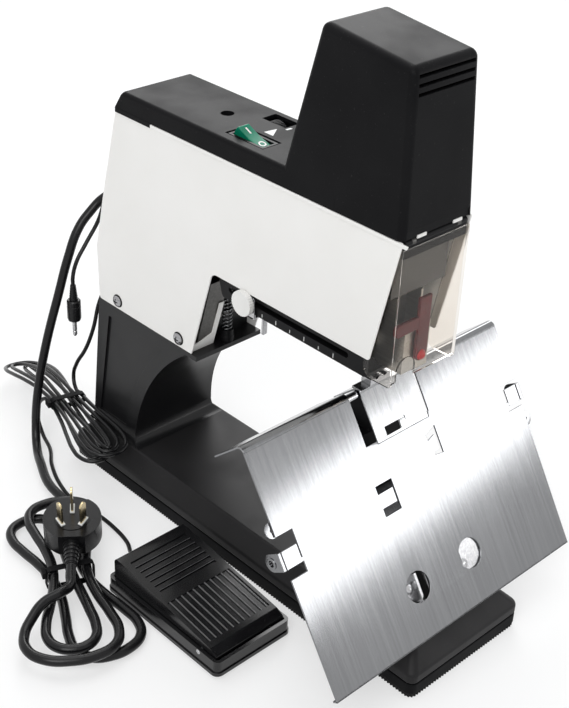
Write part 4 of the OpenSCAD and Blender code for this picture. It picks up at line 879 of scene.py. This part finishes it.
def deck_block(inset, low):
    work = bmesh.new()
    profile = [(inset - 30.2, low, 0), (30.2 - inset, low, 0), (29.6 - inset, DECK - inset, 3),
               (inset - 29.6, DECK - inset, 3)]
    for vert in prism_y(work, rounded(profile, 5), -60, 0):
        if vert.co.y > -30:
            share = (vert.co.z - SKIRT_LOW) / (DECK - SKIRT_LOW)
            vert.co.y = DECK_REAR[0] + (DECK_REAR[1] - DECK_REAR[0]) * share - inset
    return work


def tower_block(inset, low, soft):
    def corner(x, y, z, middle):
        return work.verts.new((x - math.copysign(inset, x), y - math.copysign(inset, y - middle), z))

    work = bmesh.new()
    foot = [corner(x, y, low, -60) for x, y in TOWER_LOW]
    head = [corner(x, y, z - inset, -70) for x, y, z in TOWER_HIGH]
    work.faces.new(foot)
    crown = work.faces.new(head)
    uprights = []
    for k in range(4):
        side = work.faces.new((foot[k - 1], foot[k], head[k], head[k - 1]))
        uprights += [edge for edge in side.edges if head[k] in edge.verts and foot[k] in edge.verts]
    bmesh.ops.recalc_face_normals(work, faces=work.faces)
    if soft:
        bmesh.ops.bevel(work, geom=uprights + crown.edges[:], offset=soft, segments=6, profile=0.5,
                        affect="EDGES", material=-1, offset_type="OFFSET")
    return work


def top_moulding():
    work = carved(tower_block(0, SKIRT_LOW, 4.5), deck_block(0, SKIRT_LOW), "UNION")
    hollow = carved(tower_block(WALL, SKIRT_LOW - 3, 0), deck_block(WALL, SKIRT_LOW - 3), "UNION")
    work = carved(work, hollow)
    pillar = bmesh.new()
    rod(pillar, "z", (*DECK_HOLE, 282), 7, DECK - 1 - 282, 36)
    work = carved(work, pillar, "UNION")
    cuts = bmesh.new()
    rod(cuts, "z", (*DECK_HOLE, DECK_SCREW), 4.4, 20, 36)
    x, y, _ = ROCKER
    block(cuts, (x - 6.55, x + 6.55), (y - 15.55, y + 15.55), (DECK - 9, DECK + 2))
    for vert in block(cuts, (x - 8.3, x + 8.3), (y - 17.3, y + 17.3), (DECK - 1.2, DECK + 1)):
        if vert.co.z < DECK:
            vert.co.x = x + (vert.co.x - x) * 7.4 / 8.3
            vert.co.y = y + (vert.co.y - y) * 16.4 / 17.3
    block(cuts, (11.8, 23.6), (24, 45), (DECK - 9, DECK + 2))
    for low in VENTS:
        block(cuts, (-22.5, 22.5), (-120, -99), (low, low + 2))
    block(cuts, (-26.5, 26.5), (-114, -111.1), (SKIRT_LOW - 1, 286.4))
    plates = bmesh.new()
    for x in HINGE_SLOTS:
        block(cuts, (x - 3.6, x + 3.6), (-114, -110.9), (280.2, 282.2))
        block(plates, (x - 3.7, x + 3.7), (-111.7, -110.8), (280.3, 282.2))
    work = carved(work, cuts)
    for side in (-1, 1):
        block(work, sorted((side * 29.75, side * 30.35)), (HEM_REAR, 140.2), (278.6, SKIRT_LOW + 0.4))
    finished("top_moulding", work, "frame", "top_black", ["top_cover"], 0.35, 2, 30)

    work = bmesh.new()
    triangle = [(-2.8, 27.5), (-2.8, 19.5), (6.8, 26.1)]
    for mark in (triangle, [(10.4, 22.6), (10.4, 20.8), (14.6, 20.4), (14.6, 22.2)]):
        prism_z(work, mark, DECK - 0.02, DECK + 0.05)
    finished("deck_marks", work, "frame", "cover_white", edge=0, look="mark_white")
    finished("hinge_slot_plates", plates, "frame", "cover_white", edge=0.1)
    work = bmesh.new()
    turned(work, pan_head(3.8, 3), Matrix.Translation((*DECK_HOLE, DECK_SCREW)), 24)
    finished("deck_screw_head", work, "frame", "screw_steel", ["deck_screw"], 0.1)


def facet_place(start, end):
    """place on a sloping facet of the rocker: Y runs up the facet and Z stands off it"""
    x, y, z = ROCKER
    way = (end - start).normalized()
    turn = Matrix(((1, 0, 0), (0, way.x, way.y), (0, -way.y, way.x))).transposed().to_4x4()
    return Matrix.Translation((x, y + start.x, z + start.y)) @ turn


def power_rocker():
    work = bmesh.new()
    x, y, z = ROCKER
    profile = arc((0, 0), 13.5, -8, 48, 8) + [(-1, 5.4)] + arc((0, 0), 13.5, 171, 188, 4)
    profile += [(-6, -4.5), (6, -4.5)]
    prism_x(work, [(y + a, z + b) for a, b in profile], x - 4.5, x + 4.5)
    finished("rocker_key", work, "rocker", "rocker_green", ["rocker"], 0.6, 3)
    marks = bmesh.new()
    high = Vector((9.03, 10.03))
    valley = Vector((-1.0, 5.4))
    low = Vector((-13.33, 2.11))
    length = (high - valley).length
    block(marks, (-0.55, 0.55), (length * 0.3, length * 0.78), (-0.1, 0.06), facet_place(valley, high))
    middle = Matrix.Translation((0, (valley - low).length * 0.42, 0))
    turned(marks, tube(1.6, 2.5, -0.1, 0.06), facet_place(low, valley) @ middle, 28)
    finished("rocker_marks", marks, "rocker", "cover_white", edge=0, look="mark_white")


def force_wheel():
    work = bmesh.new()
    x, y, z = DIAL
    prism_x(work, toothed((y, z), 40, ((0.0, 9.0), (0.45, 9.0), (0.6, 8.4), (0.85, 8.4))), x - 3, x + 3)
    rod(work, "x", (x - 6, y, z), 1.5, 12, 20)
    finished("force_wheel", work, "dial", "dial_black", ["force_dial"], 0.1, 1)


# arm with its slot and scale, nose, depth stop and knob

def stapling_arm():
    work = bmesh.new()
    outline = rounded([(-91, ARM_LOW, 2), (36, ARM_LOW, 3), (41, 200.5, 3), (131, 200.5, 2), (131, 217, 6),
                       (-80, 217, 3), (-91, 205, 3)], 5)
    slot = box_outline(106, 4, 1.9, (-23, SLOT_Z))
    sheet_with_holes(work, outline, [slot], -ARM_HALF, 2 - ARM_HALF, UPRIGHT)
    prism_x(work, outline, ARM_HALF - 2, ARM_HALF)
    block(work, (-25.9, 25.9), (-91, 35), (ARM_LOW, ARM_LOW + 2))
    block(work, (-25.9, 25.9), (54, 71), (200.5, 202.5))
    finished("arm_plates", work, "arm", "arm_black", ["arm"], 0.35)
    work = bmesh.new()
    for k in range(8):
        y = -64 + 12.5 * k
        high = 187.4 if k % 2 else 188.2
        block(work, (-ARM_HALF - 0.04, -ARM_HALF + 0.02), (y - 0.25, y + 0.25), (185.2, high))
    finished("arm_scale", work, "arm", "cover_white", edge=0, look="mark_white")
    work = bmesh.new()
    tunnel = bmesh.new()
    block(work, (-11, 11), (-104.6, -84.4), (186.3, 234))
    block(tunnel, (-9, 9), (-102.6, -86.4), (189, 240))
    block(tunnel, (-12, 12), (-106, -97), (217, 240))
    work = carved(work, tunnel)
    for x in (-7.5, 7.5):
        rod(work, "-y", (x, -104.4, 212), 1.6, 0.4, 16)
    finished("nose_block", work, "arm", "magazine_steel", ["nose_guide"], 0.5)


def depth_stop_parts():
    work = bmesh.new()
    prism_x(work, rounded([(4, 181.2, 1.5), (18, 181.2, 1.5), (18, 197, 3), (4, 197, 3)]), -28.2, -26.7)
    block(work, (-28.2, -16), (4, 11.5), (181.2, 182.7))
    prism_y(work, rounded([(-20, 167, 1.2), (-16, 167, 1.2), (-16, 182, 0.5), (-20, 182, 0.5)]), 4, 5.5)
    block(work, (-26.8, -22.9), (6, 16), (SLOT_Z - 1.7, SLOT_Z + 1.7))
    rod(work, "-x", (-28.1, STOP_Y, SLOT_Z), 2, 4.8, 20)
    finished("depth_stop_slide", work, "stop", "stop_steel", ["depth_stop"], 0.3)
    work = bmesh.new()
    rim = toothed((STOP_Y, SLOT_Z), 30, ((0.0, 8.6), (0.5, 8.6), (0.65, 8.3), (0.85, 8.3)))
    prism_x(work, rim, -33.6, -29.8)
    rod(work, "x", (-29.9, STOP_Y, SLOT_Z), 4, 1.4, 24)
    hollow = bmesh.new()
    turned(hollow, [(0, 0), (6.2, 0), (5.6, -0.7), (0, -0.9)], facing("-x", (-33.5, STOP_Y, SLOT_Z)), 32)
    finished("stop_knob_disc", carved(work, hollow), "knob", "knob_white", ["stop_knob"], 0.35)


# springs, the bracket beside the lift spring and the cup under it

def spring_wire(node, body, way, at, *winding):
    work = bmesh.new()
    coil(work, at, way, *winding)
    return finished(node + "_wire", work, body, "spring_steel", [node], 0)


def springs():
    lift = spring_wire("lift_spring", "frame", "z", (2.5, 63, 131.1), 3.2, 1.0, 24, 68.6)
    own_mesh(lift)
    feed = spring_wire("pusher_spring", "arm", "y", (0, -25, 196.5), 2.1, 0.7, 14, 54.3)
    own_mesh(feed)
    back = spring_wire("pedal_spring", "frame", "z", (PEDAL[0], PEDAL[1] + 34, 4.9), 4.5, 1.0, 6, 19.2)
    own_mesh(back)
    work = bmesh.new()
    bent = [(-28.4, 129), (-8.2, 129), (-8.2, 166), (-12.4, 166), (-12.4, 140), (-28.4, 134)]
    for vert in prism_y(work, bent, 63.2, 64.1):
        vert.co.y -= FLANGE_LEAN * (vert.co.z - 134)
    finished("spring_bracket", work, "frame", "cover_white", edge=0.2)
    work = bmesh.new()
    turned(work, [(0, 0), (5.2, 0), (5.2, 4.4), (4.7, 4.6), (4.7, 9), (4, 9), (4, 1.5), (0, 1.5)],
           Matrix.Translation((2.5, 63, COLUMN_TOP)), 32)
    finished("lift_spring_cup", work, "frame", "fitting_black", ["spring_cup"], 0.2)


# clear guard, its black hinge strip and the red latch

def nose_guard():
    work = bmesh.new()
    sides = rounded([(GUARD_FRONT, 187, 3), (-88, 186, 8), (-104, 275.6, 1), (GUARD_FRONT, 275.6, 0.5)], 6)
    prism_x(work, sides, -INNER_HALF, INNER_HALF)
    room = bmesh.new()
    block(room, (-26.8, 26.8), (GUARD_FRONT + 1.4, -60), (150, 300))
    block(room, (-26.8, 26.8), (GUARD_FRONT - 4, GUARD_FRONT + 3), (170, GUARD_LOW))
    prism_y(room, [(-24, 180), (-24, 196)] + arc((-16, 196), 8, 180, 0, 14)[1:-1] + [(-8, 196), (-8, 180)],
            GUARD_FRONT - 3, GUARD_FRONT + 4)
    finished("guard_sheet", carved(work, room), "guard", "guard_clear", ["guard"], 0.3)
    work = bmesh.new()
    prism_y(work, box_outline(53, 6.4, 0.8, (0, 272.8)), -110.6, -109.6)
    turned(work, tube(1.05, 2, 0, 52), facing("x", (-26, *HINGE)), 24)
    block(work, (-26, 26), (-111.2, -109.6), (HINGE[1] - 3, HINGE[1] - 1))
    finished("guard_hinge_strip", work, "guard", "fitting_black", ["guard_bracket"], 0.15)


def red_latch():
    work = bmesh.new()
    cross = rounded([(-22, 216, 2.5), (-2.8, 216, 0), (-2.8, 224, 0), (-22, 224, 2.5)])
    for outline in (arc((2, 198), 5, 180, 360, 12) + [(7, 236), (-3, 236)], cross):
        prism_y(work, outline, -107.3, -104.9)
    finished("nose_latch", work, "latch", "latch_red", ["release_latch"], 0.5, 3)
    work = bmesh.new()
    turned(work, arc((0, 0), 3.6, -89.9, 89.9, 14), Matrix.Translation((2, -106.1, 197)), 24)
    finished("nose_latch_tip", work, "latch", "latch_red", edge=0, look="tip_red")


# saddle table: drawn flat on a leaf, where Y runs up the front slope and Z stands off the sheet

FRONT_LEAF = Matrix.Translation((0, *RIDGE)) @ turn_about("X", TABLE_FALL)
BACK_LEAF = Matrix.Translation((0, *RIDGE)) @ turn_about("X", -REAR_FALL)


def window(x0, x1, s0, s1):
    return [(x0, -s1), (x1, -s1), (x1, -s0), (x0, -s0)]


def cut_circle(mid, radius, flat):
    """round hole with one flat side at a given x"""
    return [(min(x, flat) if mid[0] < flat else max(x, flat), y) for x, y in circle(mid, radius, 36)]


def table_top():
    work = bmesh.new()
    a = TABLE_HALF + 1
    low_right = 109.5
    gap_left, gap_right = SADDLE_GAP
    left, right = LEFT_NOTCH, RIGHT_CLIP
    outer = [(-a, 0), (gap_left, 0), (gap_left, -30.6), (CAP_LEFT - 0.4, -30.6),
             (CAP_LEFT - 0.4, -CAP_LOW - 0.05), (29.2, -CAP_LOW - 0.05), (29.2, -29), (gap_right, -29),
             (gap_right, 0), (a, 0), (a, -right[0]), (TABLE_HALF - NOTCH, -right[0]),
             (TABLE_HALF - NOTCH, -right[1]), (a - 0.6, -right[1]), (low_right, -LEAF), (-a, -LEAF),
             (-a, -left[1]), (NOTCH - a, -left[1]), (NOTCH - a, -left[0]), (-a, -left[0])]
    tongue = [(-31, -74.5), (-17, -74.5), (-17, -55), (-31, -55), (-31, -60), (-18.2, -60), (-18.2, -69.4),
              (-31, -69.4)]
    lug = [(31, -39), (31, -57.2), (23.5, -56.2), (23.5, -54.6), (28, -54), (28, -44.2), (21.5, -46),
           (20.8, -42)]
    holes = [lug, tongue] + [cut_circle((x, -EYES_S), 9.8, flat) for x, flat in EYES]
    sheet_with_holes(work, outer, holes, RING_IN, RING, FRONT_LEAF)
    block(work, (-a, low_right), (-LEAF, SHEET - LEAF), (0.25, RING), FRONT_LEAF)
    for x0, x1 in ((-a, gap_left), (32, a)):
        sheet_with_holes(work, window(x0, x1, -REAR_LEAF, 0), [], RING_IN, RING, BACK_LEAF)
    bend = (90 - REAR_FALL, 90 + TABLE_FALL)
    over = arc(RIDGE, RING, *bend, 10) + arc(RIDGE, RING_IN, bend[1], bend[0], 10)
    prism_x(work, over, -a, gap_left)
    prism_x(work, over, gap_right, a)
    finished("saddle_sheet", work, "table", "table_steel", ["saddle_table"], 0.25)

    work = bmesh.new()
    for x, length in ((9 - a, a - 27), (29.3, a - 38.3)):
        rod(work, "x", (x, *RIDGE), 2.9, length, 24)
    rod(work, "x", (-18.2, *RIDGE), 1.8, 19.8, 20)
    rod(work, "-x", (29.4, *RIDGE), 1.8, 13, 20)
    finished("ridge_rods", work, "table", "pin_steel", ["table_rods"], 0.3)


def table_support():
    """bracket on the base that carries the lower half of the table, with a screw seen through each eye"""
    work = bmesh.new()
    left, right = -36, 38
    front, back = -75.4, -73.4
    low, high = RING_IN - 2.3, RING_IN - 0.3
    eye_window = window(-34.5, -17, EYES_S - 9, EYES_S + 10)
    sheet_with_holes(work, window(left, right, EYES_S - 11, EYES_S + 13), [eye_window], low, high, FRONT_LEAF)
    reach = (-EYES_S - 11, 8 - EYES_S)
    block(work, (-29, -22), reach, (low - 7, low - 5), FRONT_LEAF)
    block(work, (-24.2, -22.2), reach, (low - 7, low + 1), FRONT_LEAF)
    turned(work, pan_head(3.4, 2.2), FRONT_LEAF @ Matrix.Translation((-27, -EYES_S - 1, low - 5)), 24)
    turned(work, pan_head(3.4, 1.8), FRONT_LEAF @ Matrix.Translation((15.5, -EYES_S - 4, high)), 24)
    lean = FRONT_LEAF @ Vector((0, 11 - EYES_S, low))
    block(work, (left, right), (front, -61.4), (PLATEAU, PLATEAU + 2))
    prism_x(work, [(front, PLATEAU), (back, PLATEAU), (back, 90), (lean.y, lean.z),
                   (lean.y - 1.7, lean.z + 1.1), (front, 90)], left, right)
    finished("table_support", work, "frame", "table_steel", ["table_rest"], 0.25, look="stop_steel")


def edge_clip(work, place, span):
    """clip in a notch of the table: tongue, ear bent down with its eyelet, and a ring at the far edge"""
    middle = -(span[0] + span[1]) / 2
    half = 5.6
    low, high = middle - half, middle + half
    notch = TABLE_HALF - NOTCH
    ear_low = RING + half - 14
    block(work, (notch + 2, 114.6), (low, high), (RING - 0.9, RING + 0.1), place)
    block(work, (notch - 2.5, notch + 2.2), (low, low + 2.6), (RING_IN, RING - 0.1), place)
    block(work, (111.4, 112.6), (low, high), (RING, RING + 0.7), place)
    ear = rounded([(low, ear_low - half, 5.4), (high, ear_low - half, 5.4), (high, RING, 0),
                   (low, RING, 0)], 6)
    sheet_with_holes(work, ear, [circle((middle, ear_low), 2.2)], 114, 115, place @ UPRIGHT)
    turned(work, tube(2.1, 3.7, -0.6, 1.6), place @ facing("x", (114, middle, ear_low)), 24)
    turned(work, tube(1.5, 5, 0, 1), place @ facing("z", (-TABLE_HALF - 0.6, middle, RING_IN - 1)), 24)
    block(work, (3.4 - TABLE_HALF, 12 - TABLE_HALF), (middle - 2, middle + 2), (RING_IN - 1, RING_IN), place)


def clips():
    work = bmesh.new()
    edge_clip(work, FRONT_LEAF @ Matrix.Diagonal((-1, 1, 1, 1)), LEFT_CLIP)
    edge_clip(work, FRONT_LEAF, RIGHT_CLIP)
    finished("edge_clips", work, "table", "table_steel", ["edge_guides"], 0.2)


# anvil on its post

def anvil():
    work = bmesh.new()
    block(work, (-24, 29), (-85.6, -59.6), (PLATEAU, 136))
    block(work, (-34, 38), (-90.6, -50.6), (PLATEAU, PLATEAU + 5))
    head = bmesh.new()
    prism_x(head, [(-85.6, 135), (-59.6, 135), (-59.6, 146), (-73, 162.4), (-80, 162.4), (-90, 146)], -11, 29)
    finished("anvil_pillar", carved(work, head, "UNION"), "frame", "post_black", ["anvil_post"], 0.7, 3)
    work = bmesh.new()
    y, z = RIDGE
    low, high = RING_IN - 0.1, RING - 0.1
    gaps = [window(-8, 4.4, 25, 30.5), window(9.8, 10.4, 24, 26.6)]
    sheet_with_holes(work, window(CAP_LEFT, CAP_RIGHT, -1.5, CAP_LOW), gaps, low, high, FRONT_LEAF)
    block(work, (4.6, 9.6), (-30.2, -25), (low, high + 0.6), FRONT_LEAF)
    sheet_with_holes(work, window(CAP_LEFT, CAP_RIGHT, -21, 1), [], low, high, BACK_LEAF)
    block(work, (CAP_LEFT, CAP_RIGHT), (y - 4, y + 4), (z + 3.2, z + 4.8))
    finished("anvil_cap", work, "frame", "anvil_steel", ["anvil_plate"], 0.25)
    work = bmesh.new()
    block(work, (-9, 9), (y - 4, y + 4), (z + 4.8, z + 9))
    grooves = bmesh.new()
    for x in (-3.4, 3.4):
        rod(grooves, "y", (x, y - 6, z + 10.4), 2.6, 12, 24)
    work = carved(work, grooves)
    finished("clincher_block", work, "frame", "anvil_steel", ["clincher"], 0.3, look="drive_steel")


# foot pedal

PLATE_HALF = 28.35
PLATE_FRONT, PLATE_REAR = -76.9, 24.9
PLATE_TOP = 28.5


def pedal_profile(inset, low):
    front, rear, top = PLATE_FRONT + inset, PLATE_REAR - inset, PLATE_TOP - inset
    return rounded([(front, low, 0), (rear, low, 0), (rear, top, 3), (PLATE_REAR - 8, top, 0),
                    (PLATE_FRONT + 6, top - 11, 4), (front, top - 14, 1.5)], 5)


def pedal_slab(grow, corner, low, high, steps=5):
    """rounded slab of the pedal's footprint, its sides made longer by a measure"""
    work = bmesh.new()
    prism_z(work, box_outline(PEDAL_W + grow, PEDAL_L + grow, corner, PEDAL, steps), low, high)
    return work


def foot_pedal():
    x, y = PEDAL
    finished("pedal_foot_pad", pedal_slab(-3, 4, 0, 2), "frame", "mat_rubber", ["pedal_pad"], 0.4)

    work = carved(pedal_slab(0, 4, 2.5, 13, 6), pedal_slab(-5, 1.2, 4, 20))
    work = carved(work, pedal_slab(1.6, 5, 2, 4.6, 6), "UNION")
    ribbed_sleeve(work, facing("y", (-100, y + PEDAL_L / 2 - 1, 8)), 3.4, 2.3, 7, 4, 20)
    finished("pedal_tray", work, "frame", "pedal_black", ["pedal_base"], 0.5, 3)

    work = bmesh.new()
    prism_x(work, pedal_profile(0, 12.5), x - PLATE_HALF, x + PLATE_HALF)
    cuts = bmesh.new()
    prism_x(cuts, pedal_profile(2, 3.5), x + 2 - PLATE_HALF, x + PLATE_HALF - 2)
    slope = Matrix.Rotation(math.atan2(11, PLATE_REAR - PLATE_FRONT - 14), 4, "X")
    tread = Matrix.Translation((x, PLATE_REAR - 8, PLATE_TOP)) @ slope
    across = (5 - PLATE_HALF, PLATE_HALF - 5)
    sunk = (-84, -44)
    for k in range(7):
        block(cuts, across, (-5 - 5 * k, -2.2 - 5 * k), (-1, 2), tread)
    block(cuts, (-26, 26), sunk, (-0.8, 2), tread)
    finished("pedal_tread", carved(work, cuts), "pedal", "pedal_black", ["pedal_plate"], 0.3)
    # raised ridges and cross ribs of the tread, in a lighter grey that paints the highlights on them
    work = bmesh.new()
    for k in range(11):
        block(work, (4.8 * k - 24.4, 4.8 * k - 23.6), sunk, (-1, 0), tread)
    for k in range(6):
        block(work, across, (-7.6 - 5 * k, -7.2 - 5 * k), (-0.3, 0.05), tread)
    finished("pedal_ridges", work, "pedal", "pedal_black", edge=0.15, look="ridge_painted_highlight")

    work = bmesh.new()
    rod(work, "x", (x - PEDAL_W / 2 - 0.15, *PEDAL_HINGE), 1.8, PEDAL_W + 0.3, 24)
    finished("pedal_hinge_pin", work, "frame", "pin_steel", ["pedal_pin"], 0.3)


# what hangs on the two cords

def mains_plug_parts():
    work = bmesh.new()
    face = PLUG_T / 2
    outline = arc((0, 0), PLUG_R, 32.2, 152.5, 18) + [(-PLUG_BACK, 9), (-PLUG_BACK, -9)]
    outline += arc((0, 0), PLUG_R, 207.5, 327.8, 18)
    prism_z(work, outline, -face, face)
    rod(work, "z", (0, 0, face - 0.3), 12, 0.8, 36)
    moved(work, PLUG_PLACE, work.verts)
    body = finished("mains_plug_body", work, "frame", "lead_black", ["mains_plug"], 3.2, 4)
    work = bmesh.new()
    ribbed_sleeve(work, PLUG_PLACE @ facing("-x", (1 - PLUG_BACK, 0, 0)), 6.2, 4.2, RELIEF_L + 1, 6)
    relief = finished("mains_plug_relief", work, "frame", "lead_black", edge=0.2)
    pins = bmesh.new()
    collars = bmesh.new()
    for at, turn, high in (((7.2, 0), 0, 20), ((-4.5, -7.5), -30, 18), ((-4.5, 7.5), 30, 18)):
        place = PLUG_PLACE @ Matrix.Translation((*at, 0)) @ turn_about("Z", turn)
        blade = rounded([(-3.2, face - 1, 0), (3.2, face - 1, 0), (3.2, face + high, 3),
                         (-3.2, face + high, 3)])
        moved(pins, place, prism_y(pins, blade, -0.75, 0.75))
        block(collars, (-4.2, 4.2), (-1.6, 1.6), (face, face + 1.6), place)
    pins = finished("mains_plug_pins", pins, "frame", "plug_brass", ["plug_pins"], 0.25)
    collars = finished("plug_pin_collars", collars, "frame", "knob_white", edge=0.3, look="mark_white")
    return [body, relief, pins, collars]


def pedal_jack_parts():
    place = facing("-z", PEDAL_ROUTE_B[-1])
    work = bmesh.new()
    ribbed_sleeve(work, place @ facing("-z", (0, 0, 12)), 3.4, 2.1, 12.5, 6, 24)
    turned(work, [(0, 12), (4.4, 12), (5.2, 13), (5.2, 16), (4.8, 16.3), (4.8, 17), (5.2, 17.3), (5.2, 27),
                  (4.6, 29), (0, 29)], place, 32)
    body = finished("jack_grip", work, "frame", "lead_black", ["jack_body"], 0.25)
    work = bmesh.new()
    turned(work, [(0, 28.5), (2.6, 28.5), (2.6, 29.6), (1.75, 29.6), (1.75, 37.6), (1.3, 38), (1.3, 38.4),
                  (1.75, 38.8), (1.75, 41.2), (1.1, 42.6), (0.4, 43.1), (0, 43.1)], place, 24)
    pin = finished("jack_tip", work, "frame", "pin_steel", ["jack_pin"], 0.1)
    return [body, pin]


def hank_tie(name, hank, across, up):
    """rounded band round a hank's waist, with its head"""
    work = bmesh.new()
    wide, high = across[1] - across[0], up[1] - up[0]
    corner = min(high / 2 - 0.2, 3)
    middle = (sum(across) / 2, sum(up) / 2)
    inner, outer = (box_outline(wide + 2 * out, high + 2 * out, corner + out, middle, 8) for out in (0, 0.9))
    place = Matrix.Translation((*hank["mid"], 0)) @ turn_about("Z", hank["turn"])
    sheet_with_holes(work, outer, [inner], -2.5, 2.5, place @ UPRIGHT)
    block(work, (-3.4, 3.4), (across[1] + 0.6, across[1] + 3.4), (up[1] - 4.4, up[1] + 0.4), place)
    return finished(name, work, "frame", "gland_rubber", ["cord_ties"], 0.3)


standing_base()
throat_column()
white_covers()
back_fittings()
top_moulding()
power_rocker()
force_wheel()
stapling_arm()
depth_stop_parts()
springs()
nose_guard()
red_latch()
table_top()
table_support()
clips()
anvil()
foot_pedal()
plug_parts = mains_plug_parts()
jack_parts = pedal_jack_parts()
mains_tie = hank_tie("mains_hank_tie", MAINS_HANK, (-18, 13.2), (1, 16.1))
pedal_tie = hank_tie("pedal_hank_tie", PEDAL_HANK, (-14.3, 12.2), (32.5, 40))

# finishes of the model's own nodes that keep their shape
for part in frame["record"]["subparts"]:
    kept = frame["nodes"][part["node"]]
    look = "fitting_black" if part["node"] == "guard_pin" else part["material_slot"]
    kept.data.materials.clear()
    kept.data.materials.append(FINISHES[look])
